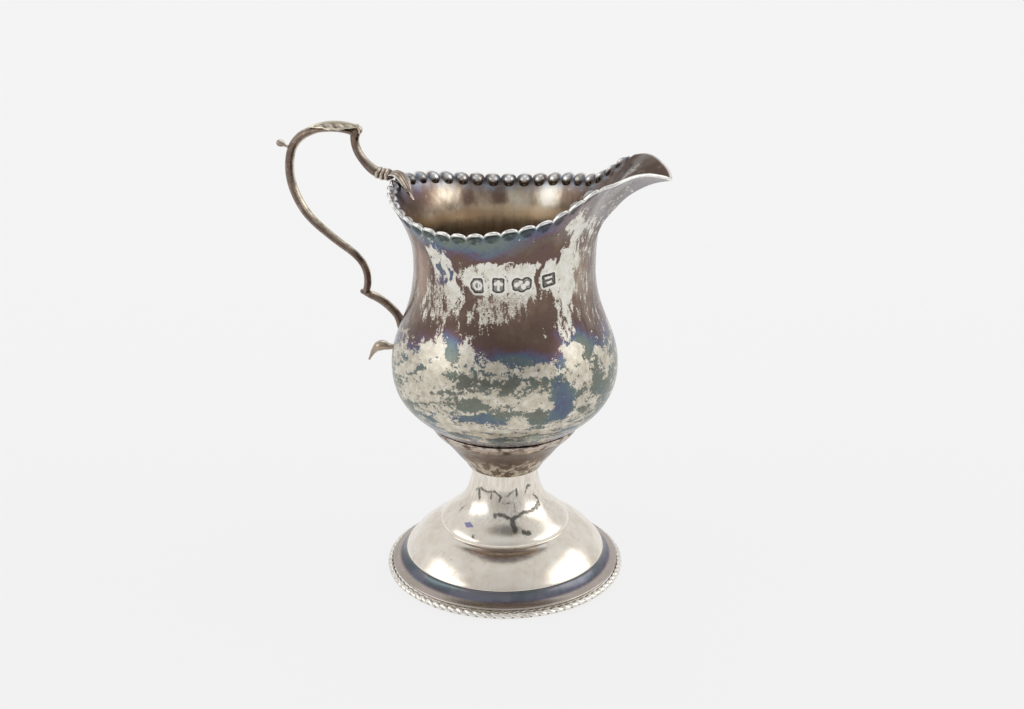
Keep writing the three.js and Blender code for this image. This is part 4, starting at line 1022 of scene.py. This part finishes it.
def rod(name, line, size, rings, sides=28, power=1.0, relief=None, marks=None, y_shift=None, caps=(True, True), **kw):
    """A cast rod along a line in the handle's plane; size(t) gives half-thickness and half-width."""
    c = smooth_line(line, rings)
    tan = np.gradient(c, axis=0)
    tan /= np.linalg.norm(tan, axis=1, keepdims=True)
    nor = np.stack([-tan[:, 1], tan[:, 0]], 1)
    t = np.linspace(0, 1, rings)
    f = np.linspace(0, 2 * np.pi, sides, endpoint=False)
    th, wd = size(t)
    th, wd = np.broadcast_to(th, t.shape), np.broadcast_to(wd, t.shape)
    cu = np.sign(np.cos(f)) * np.abs(np.cos(f)) ** power
    cv = np.sign(np.sin(f)) * np.abs(np.sin(f)) ** power
    T, Fg = np.meshgrid(t, f, indexing="ij")
    k = np.ones_like(T) if relief is None else relief(T, Fg)
    U = th[:, None] * cu[None] * k
    W = wd[:, None] * cv[None] * k
    pts = np.stack([c[:, None, 0] + nor[:, None, 0] * U, W, c[:, None, 1] + nor[:, None, 1] * U], -1)
    if y_shift is not None:
        pts = y_shift(pts, T, Fg)
    rows, tt, ff = [pts], [T], [Fg]

    def dome(end):
        i = 0 if end == 0 else -1
        centre = np.array([c[i, 0], 0, c[i, 1]])
        d = np.array([tan[i, 0], 0, tan[i, 1]]) * (-1 if end == 0 else 1)
        r = min(th[i], wd[i])
        out = []
        for g in np.radians([22, 45, 66, 82]):
            out.append(centre + (pts[i] - centre) * math.cos(g) + d * r * math.sin(g))
        return np.stack(out), centre + d * r

    head, tail_ = dome(0), dome(1)
    allp = np.concatenate([head[0][::-1], pts, tail_[0]])
    T = np.concatenate([np.zeros((4, sides)), T, np.ones((4, sides))])
    Fg = np.concatenate([np.tile(f, (4, 1)), Fg, np.tile(f, (4, 1))])
    V = np.concatenate([allp.reshape(-1, 3), [head[1]], [tail_[1]]])
    n = len(allp)
    Q = grid(n, sides)
    j = np.arange(sides)
    j2 = (j + 1) % sides
    tris = np.concatenate([np.stack([np.full(sides, n * sides), j2, j], 1),
                           np.stack([np.full(sides, n * sides + 1), (n - 1) * sides + j, (n - 1) * sides + j2], 1)])
    # arris: where the painted highlight lies, along the two edges of the section and faintly on the faces
    arris = np.abs(np.cos(Fg)) ** 4 * 1.0 + np.abs(np.sin(Fg)) ** 16 * 0.15
    hollow = np.zeros_like(T)
    if marks is not None:
        arris, hollow = marks(T, Fg, arris, hollow)
    at = {"arris": np.concatenate([np.clip(arris, 0, 1).ravel(), [0.3, 0.3]]),
          "hollow": np.concatenate([np.clip(hollow, 0, 1).ravel(), [0, 0]])}
    return build(name, V, Q, tris, attrs=at, **kw)


def ease(t, a, b):
    return step01(t, a, b)


NECK_LINE = [(-31.9, 101.5), (-33.05, 101.95), (-34.2, 102.65), (-35.6, 103.9), (-36.95, 105.5), (-37.85, 107.3),
             (-38.25, 109.0), (-38.2, 110.4), (-37.9, 111.3)]
UPPER_LINE = [(-38.3, 111.2), (-39.6, 111.55), (-42.1, 111.85), (-44.73, 111.75), (-47.37, 111.35),
              (-50.07, 110.5), (-52.35, 109.2), (-54.21, 107.3), (-55.35, 104.94), (-55.85, 102.38), (-55.93, 99.8),
              (-55.6, 97.29), (-54.83, 94.77), (-53.6, 92.12), (-51.93, 89.6), (-49.78, 87.4), (-47.18, 85.35),
              (-44.56, 83.5), (-41.96, 81.8), (-39.5, 80.2), (-37.6, 78.4), (-36.4, 76.3), (-35.98, 74.1), (-36.15, 71.75),
              (-36.45, 70.5)]
LOWER_LINE = [(-37.35, 70.35), (-36.3, 70.0), (-34.6, 69.5), (-33.0, 68.85), (-31.24, 67.8), (-29.6, 66.5), (-28.35, 65.2),
              (-27.4, 63.6), (-26.9, 62.2)]
TAIL_LINE = [(-27.3, 56.9), (-28.4, 56.6), (-29.6, 56.35), (-31.0, 56.25), (-32.4, 56.4), (-33.5, 56.0), (-34.4, 55.2), (-35.15, 54.2),
             (-35.75, 53.1), (-36.2, 52.2)]


def upper_size(t):
    swell = 1.15 - 0.2 * ease(t, 0.45, 0.9)
    under_leaf = 1 - ease(t, 0.13, 0.24)
    return swell - 0.25 * under_leaf, swell * 1.35


neck = rod("handle_stem", NECK_LINE, lambda t: (
    1.28 - 0.22 * ease(t, 0.1, 0.5) + 0.18 * ease(t, 0.8, 1.0), 1.42 - 0.2 * ease(t, 0.1, 0.5)), 60, power=1.12,
    materials=[MAT_NECK], slot="dark_silver", replaces=["handle_neck"])
upper = rod("handle_scroll", UPPER_LINE, upper_size, 190, power=1.25, materials=[MAT_SCROLL], slot="tarnished_silver",
            replaces=["handle_upper_scroll"])
lower = rod("handle_return_scroll", LOWER_LINE, lambda t: (
    0.72 + 0.33 * ease(t, 0, 0.2) + 0.3 * ease(t, 0.72, 1), 0.95 + 0.4 * ease(t, 0, 0.2) + 0.5 * ease(t, 0.75, 1)), 60, power=1.2,
    materials=[MAT_SCROLL], slot="tarnished_silver", replaces=["handle_lower_scroll"])
tail = rod("handle_terminal", TAIL_LINE, lambda t: (
    0.60 + 0.78 * np.exp(-(((t - 0.52) / 0.19) ** 2)) - 0.30 * ease(t, 0.75, 1) + 0.5 * (1 - ease(t, 0, 0.12)),
    0.72 + 0.90 * np.exp(-(((t - 0.52) / 0.19) ** 2)) - 0.35 * ease(t, 0.75, 1) + 0.6 * (1 - ease(t, 0, 0.12))), 60, power=1.1,
    materials=[MAT_TERMINAL], slot="tarnished_silver", replaces=["handle_tail"])


def knuckle_marks(T, Fg, arris, hollow):
    # the rib crests get the painted highlight, the grooves between them painted shade
    wave = np.abs(np.sin(T * math.pi * 3))
    return np.clip(wave * 1.2 - 0.5, 0, 1), np.clip(0.42 - wave, 0, 1) * 2.0


knuckle = rod("handle_ribbed_knuckle", [(-32.75, 101.85), (-31.4, 101.45), (-30.4, 101.35), (-29.2, 101.35)],
              lambda t: ((1.15 + 0.36 * np.abs(np.sin(t * math.pi * 3)) ** 0.8), (1.5 + 0.42 * np.abs(np.sin(t * math.pi * 3)) ** 0.8)),
              66, marks=knuckle_marks, materials=[MAT_TONGUE], slot="tarnished_silver", replaces=["handle_knuckle"])


def tongue_relief(T, Fg):
    # a plain section, factor 1 everywhere; the flutes are made in tongue_bend
    return 1 + 0.0 * T


def tongue_bend(pts, T, Fg):
    y = pts[..., 1]
    flute = 0.16 * np.cos(y / 0.62 * math.pi) * (1 - step01(T, 0.75, 1.0)) * step01(T, 0.05, 0.2)
    sag = -0.10 * y**2  # the tab is dished across
    out = pts.copy()
    lift = flute * (np.cos(Fg) > 0)
    # inwards of the bowl is +x here, up near the top of the bend
    dx = np.sin(np.clip(T * 1.2, 0, 1) * math.pi / 2)
    out[..., 0] += (lift + sag * -0.35) * dx
    out[..., 2] += lift * (1 - dx) + sag * 0.35
    return out


def tongue_marks(T, Fg, arris, hollow):
    # the edges and flute crests get the painted highlight, the flute troughs painted shade
    y = np.sin(Fg)
    flute = 0.5 - 0.5 * np.cos(y * 4.0 * math.pi)
    edge = np.abs(y) ** 6
    return np.clip(edge + (1 - flute) * 0.35, 0, 1), flute * (1 - step01(T, 0.7, 0.95)) * step01(T, 0.12, 0.3) * (1 - edge) * 0.8


tongue = rod("handle_rim_tab", [(-29.6, 101.5), (-28.2, 101.95), (-26.95, 101.7), (-25.9, 100.45), (-25.0, 98.8), (-24.1, 97.1), (-23.25, 95.6)],
             lambda t: (0.46 - 0.16 * ease(t, 0.6, 1.0), 1.45 + 1.15 * np.sin(math.pi * np.clip(t * 1.15, 0, 1)) ** 1.2 - 0.85 * ease(t, 0.5, 1.0)),
             70, sides=48, y_shift=tongue_bend, marks=tongue_marks, materials=[MAT_TONGUE], slot="bright_silver",
             replaces=["handle_rim_tongue"])


def make_leaf():
    """A leaf folded over the top of the scroll: midrib, slanting veins and lobed, turned-down edges."""
    line = smooth_line([(-36.75, 112.2), (-37.3, 112.75), (-38.6, 113.2), (-41.2, 113.5), (-43.8, 113.42), (-46.47, 112.95), (-48.9, 112.1), (-50.3, 111.45)], 90)
    n, m = len(line), 45
    tan = np.gradient(line, axis=0)
    tan /= np.linalg.norm(tan, axis=1, keepdims=True)
    nor = np.stack([tan[:, 1], -tan[:, 0]], 1)
    nor *= np.sign(nor[:, 1:2])
    t = np.linspace(0, 1, n)[:, None]
    y = np.linspace(-1, 1, m)[None, :]
    wide = 0.35 + 2.25 * np.sin(np.pi * np.clip(0.06 + 0.94 * (1 - t), 0, 1) ** 1.25) ** 0.8
    lobes = 1 + 0.10 * np.abs(np.sin(t * np.pi * 4.2 + 0.4)) * np.abs(y) ** 3
    Y = wide * y * lobes
    drop = 0.20 * np.abs(Y) ** 1.9
    rib = 0.26 * np.exp(-((Y / 0.22) ** 2)) - 0.20 * np.exp(-(((np.abs(Y) - 0.55) / 0.26) ** 2))
    vein = 0.10 * np.sin((t * 30 + np.abs(y) * 5.5)) * step01(np.abs(y), 0.18, 0.4) * step01(1 - np.abs(y), 0.0, 0.12)
    curl = 0.22 * np.exp(-(((np.abs(y) - 0.93) / 0.08) ** 2))
    H = rib + vein + curl - drop
    top = np.stack([line[:, None, 0] + nor[:, None, 0] * H, Y, line[:, None, 1] + nor[:, None, 1] * H], -1)
    thick = 0.42 * (1 - 0.6 * np.abs(y) ** 4) * (0.45 + 0.55 * np.sin(np.pi * np.clip(t, 0.05, 0.95))) + 0.06
    bot = top - np.stack([nor[:, None, 0] * thick, 0 * thick, nor[:, None, 1] * thick], -1)
    V = np.concatenate([top.reshape(-1, 3), bot.reshape(-1, 3)])
    Qt = grid(n, m, wrap_cols=False)
    Qb = grid(n, m, wrap_cols=False, base=n * m, flip=True)
    side = []
    for i in range(n - 1):
        for jj, flip in ((0, False), (m - 1, True)):
            q = [i * m + jj, (i + 1) * m + jj, n * m + (i + 1) * m + jj, n * m + i * m + jj]
            side.append(q[::-1] if flip else q)
    for jj in range(m - 1):
        q = [jj, jj + 1, n * m + jj + 1, n * m + jj]
        side.append(q[::-1])
        q = [(n - 1) * m + jj, (n - 1) * m + jj + 1, n * m + (n - 1) * m + jj + 1, n * m + (n - 1) * m + jj]
        side.append(q)
    # painted shade beside the midrib, in the veins and just inside the turned edge; painted highlight along the midrib
    # and the edge
    holl = np.clip(np.exp(-(((np.abs(Y) - 0.5) / 0.2) ** 2)) * 0.55 + np.clip(-vein * 7, 0, 0.7) + np.exp(-(((np.abs(y) - 0.80) / 0.07) ** 2)) * 0.5, 0, 1) + 0 * t
    arr = np.clip(np.exp(-((Y / 0.25) ** 2)) + np.exp(-(((np.abs(y) - 0.95) / 0.06) ** 2)), 0, 1) + 0 * t
    return build("handle_leaf", V, np.concatenate([Qt, Qb, side]), materials=[MAT_LEAF],
                 attrs={"arris": np.concatenate([arr.ravel(), arr.ravel() * 0.3]), "hollow": np.concatenate([holl.ravel(), holl.ravel() * 0.5])},
                 slot="pale_silver", replaces=["handle_leaf_cap"])


leaf = make_leaf()

# the bright bead that ends the leaf, and the bud on the back of the scroll
leaf_bead = rod("handle_leaf_bead", [(-36.85, 112.25), (-36.75, 111.7), (-37.05, 111.2)], lambda t: (0.62 - 0.15 * t, 0.85 - 0.2 * t), 14,
                materials=[MAT_LEAF], slot="pale_silver")
spur = rod("handle_bud", [(-58.25, 106.9), (-57.7, 106.75), (-57.1, 106.5), (-56.4, 106.25), (-55.4, 105.9)],
           lambda t: (0.55 * np.exp(-((t / 0.36) ** 4)) + 0.36 + 0.25 * ease(t, 0.6, 1), 0.57 * np.exp(-((t / 0.36) ** 4)) + 0.40 + 0.35 * ease(t, 0.6, 1)), 40,
           materials=[MAT_TERMINAL], slot="tarnished_silver", replaces=["handle_spur"])

# ------------------------------------------------------------------ floor, light, camera


def floor_material():
    k = Nodes("pale_floor")
    tc = k.t.nodes.new("ShaderNodeTexCoord")
    d = k.vec("LENGTH", k.vec("SUBTRACT", tc.outputs["Object"], (-0.15, 0.45, 0)))
    # the floor glows, brightest round one point and dimmer farther off: a painted pool of light
    tone = k.ramp(k.lerp(d, 0.1, 1.1), [(0.0, (0.855,) * 3), (0.5, (0.845,) * 3), (1.0, (0.79,) * 3)])
    k.bsdf.inputs["Roughness"].default_value = 0.9
    k.bsdf.inputs["Specular IOR Level"].default_value = 0.1
    k.put(k.bsdf.inputs["Base Color"], (0.085, 0.085, 0.086))
    k.put(k.bsdf.inputs["Emission Color"], tone)
    k.bsdf.inputs["Emission Strength"].default_value = 0.95
    return k.mat


def make_floor():
    n = 9
    g = np.linspace(-2.2, 2.2, n)
    X, Y = np.meshgrid(g, g)
    v = [(float(a), float(b), 0.0) for a, b in zip(X.ravel(), Y.ravel())]
    f = [tuple(q) for q in grid(n, n, wrap_cols=False).tolist()]
    me = bpy.data.meshes.new("floor")
    me.from_pydata(v, [], f)
    me.materials.append(floor_material())
    ob = bpy.data.objects.new("floor", me)
    bpy.context.scene.collection.objects.link(ob)
    return ob


floor = make_floor()


world = bpy.data.worlds.new("studio")
bpy.context.scene.world = world
world.use_nodes = True
wk = Nodes("unused")
bpy.data.materials.remove(wk.mat)
wk.t = world.node_tree
wk.t.nodes.clear()
w_out = wk.t.nodes.new("ShaderNodeOutputWorld")
w_bg = wk.t.nodes.new("ShaderNodeBackground")
w_dir = wk.t.nodes.new("ShaderNodeTexCoord").outputs["Generated"]


def panel(azimuth, elevation, half_w, half_h, soft):
    """1 over a soft-edged rectangular panel seen in this direction."""
    a, e = math.radians(azimuth), math.radians(elevation)
    f = (math.cos(a) * math.cos(e), math.sin(a) * math.cos(e), math.sin(e))
    r = (-math.sin(a), math.cos(a), 0.0)
    u = (-math.cos(a) * math.sin(e), -math.sin(a) * math.sin(e), math.cos(e))
    df = wk.vec("DOT_PRODUCT", w_dir, f)
    front = wk.sstep(df, 0.05, 0.2)
    df = wk.math("MAXIMUM", df, 0.05)
    px = wk.math("ABSOLUTE", wk.math("DIVIDE", wk.vec("DOT_PRODUCT", w_dir, r), df))
    py = wk.math("ABSOLUTE", wk.math("DIVIDE", wk.vec("DOT_PRODUCT", w_dir, u), df))
    return wk.mul(front, wk.sstep(px, half_w + soft, half_w - soft), wk.sstep(py, half_h + soft, half_h - soft))


to_cam = wk.vec("DOT_PRODUCT", w_dir, (0.30, -0.90, 0.31))
glow = wk.ramp(wk.lerp(to_cam, -1, 1), [(0.0, (0.80,) * 3), (0.5, (0.76,) * 3), (0.8, (0.70,) * 3), (0.94, (0.60,) * 3), (1.0, (0.50,) * 3)])
lamps = wk.math("ADD", panel(-148, 24, 0.42, 0.24, 0.13), panel(15, 27, 0.46, 0.30, 0.14), clamp=True)
w_sum = wk.mix(lamps, glow, (2.05, 2.03, 2.0))
wk.put(w_bg.inputs["Color"], w_sum)
w_bg.inputs["Strength"].default_value = 1.0
wk.t.links.new(w_bg.outputs[0], w_out.inputs[0])


def key_light(name, azimuth, elevation, distance, size, watts):
    """A broad, gentle lamp that gives the pale floor its faint contact shadow."""
    a, e = math.radians(azimuth), math.radians(elevation)
    target = Vector((AXIS * 0.001, 0, 0.05))
    d = Vector((math.cos(a) * math.cos(e), math.sin(a) * math.cos(e), math.sin(e)))
    light = bpy.data.lights.new(name, "AREA")
    light.shape = "DISK"
    light.size = size
    light.energy = watts
    ob = bpy.data.objects.new(name, light)
    ob.location = target + d * distance
    ob.rotation_euler = (-d).to_track_quat("-Z", "Y").to_euler()
    bpy.context.scene.collection.objects.link(ob)
    return ob


key_light("overhead", 100, 72, 1.2, 0.7, 1.2)

AZ, EL, DIST = math.radians(18.0013), math.radians(22.0977), 449.986
TARGET = np.array([1.7213 + AXIS, 0.5593, 57.8802])
back = np.array([math.sin(AZ) * math.cos(EL), -math.cos(AZ) * math.cos(EL), math.sin(EL)])
right = np.array([math.cos(AZ), math.sin(AZ), 0.0])
up = np.cross(back, right)
cam = bpy.data.cameras.new("camera")
cam.sensor_fit = "HORIZONTAL"
cam.sensor_width = 36.0
cam.lens = 1818.0106 / 1024 * 36.0
cam.clip_start = 0.01
cam.clip_end = 20.0
cam_ob = bpy.data.objects.new("camera", cam)
M = Matrix([[right[0], up[0], back[0], 0], [right[1], up[1], back[1], 0], [right[2], up[2], back[2], 0], [0, 0, 0, 1]])
M.translation = Vector(((TARGET + back * DIST) * 0.001).tolist())
cam_ob.matrix_world = M
bpy.context.scene.collection.objects.link(cam_ob)
bpy.context.scene.camera = cam_ob
bpy.context.scene.view_settings.view_transform = "Standard"
bpy.context.scene.view_settings.look = "None"
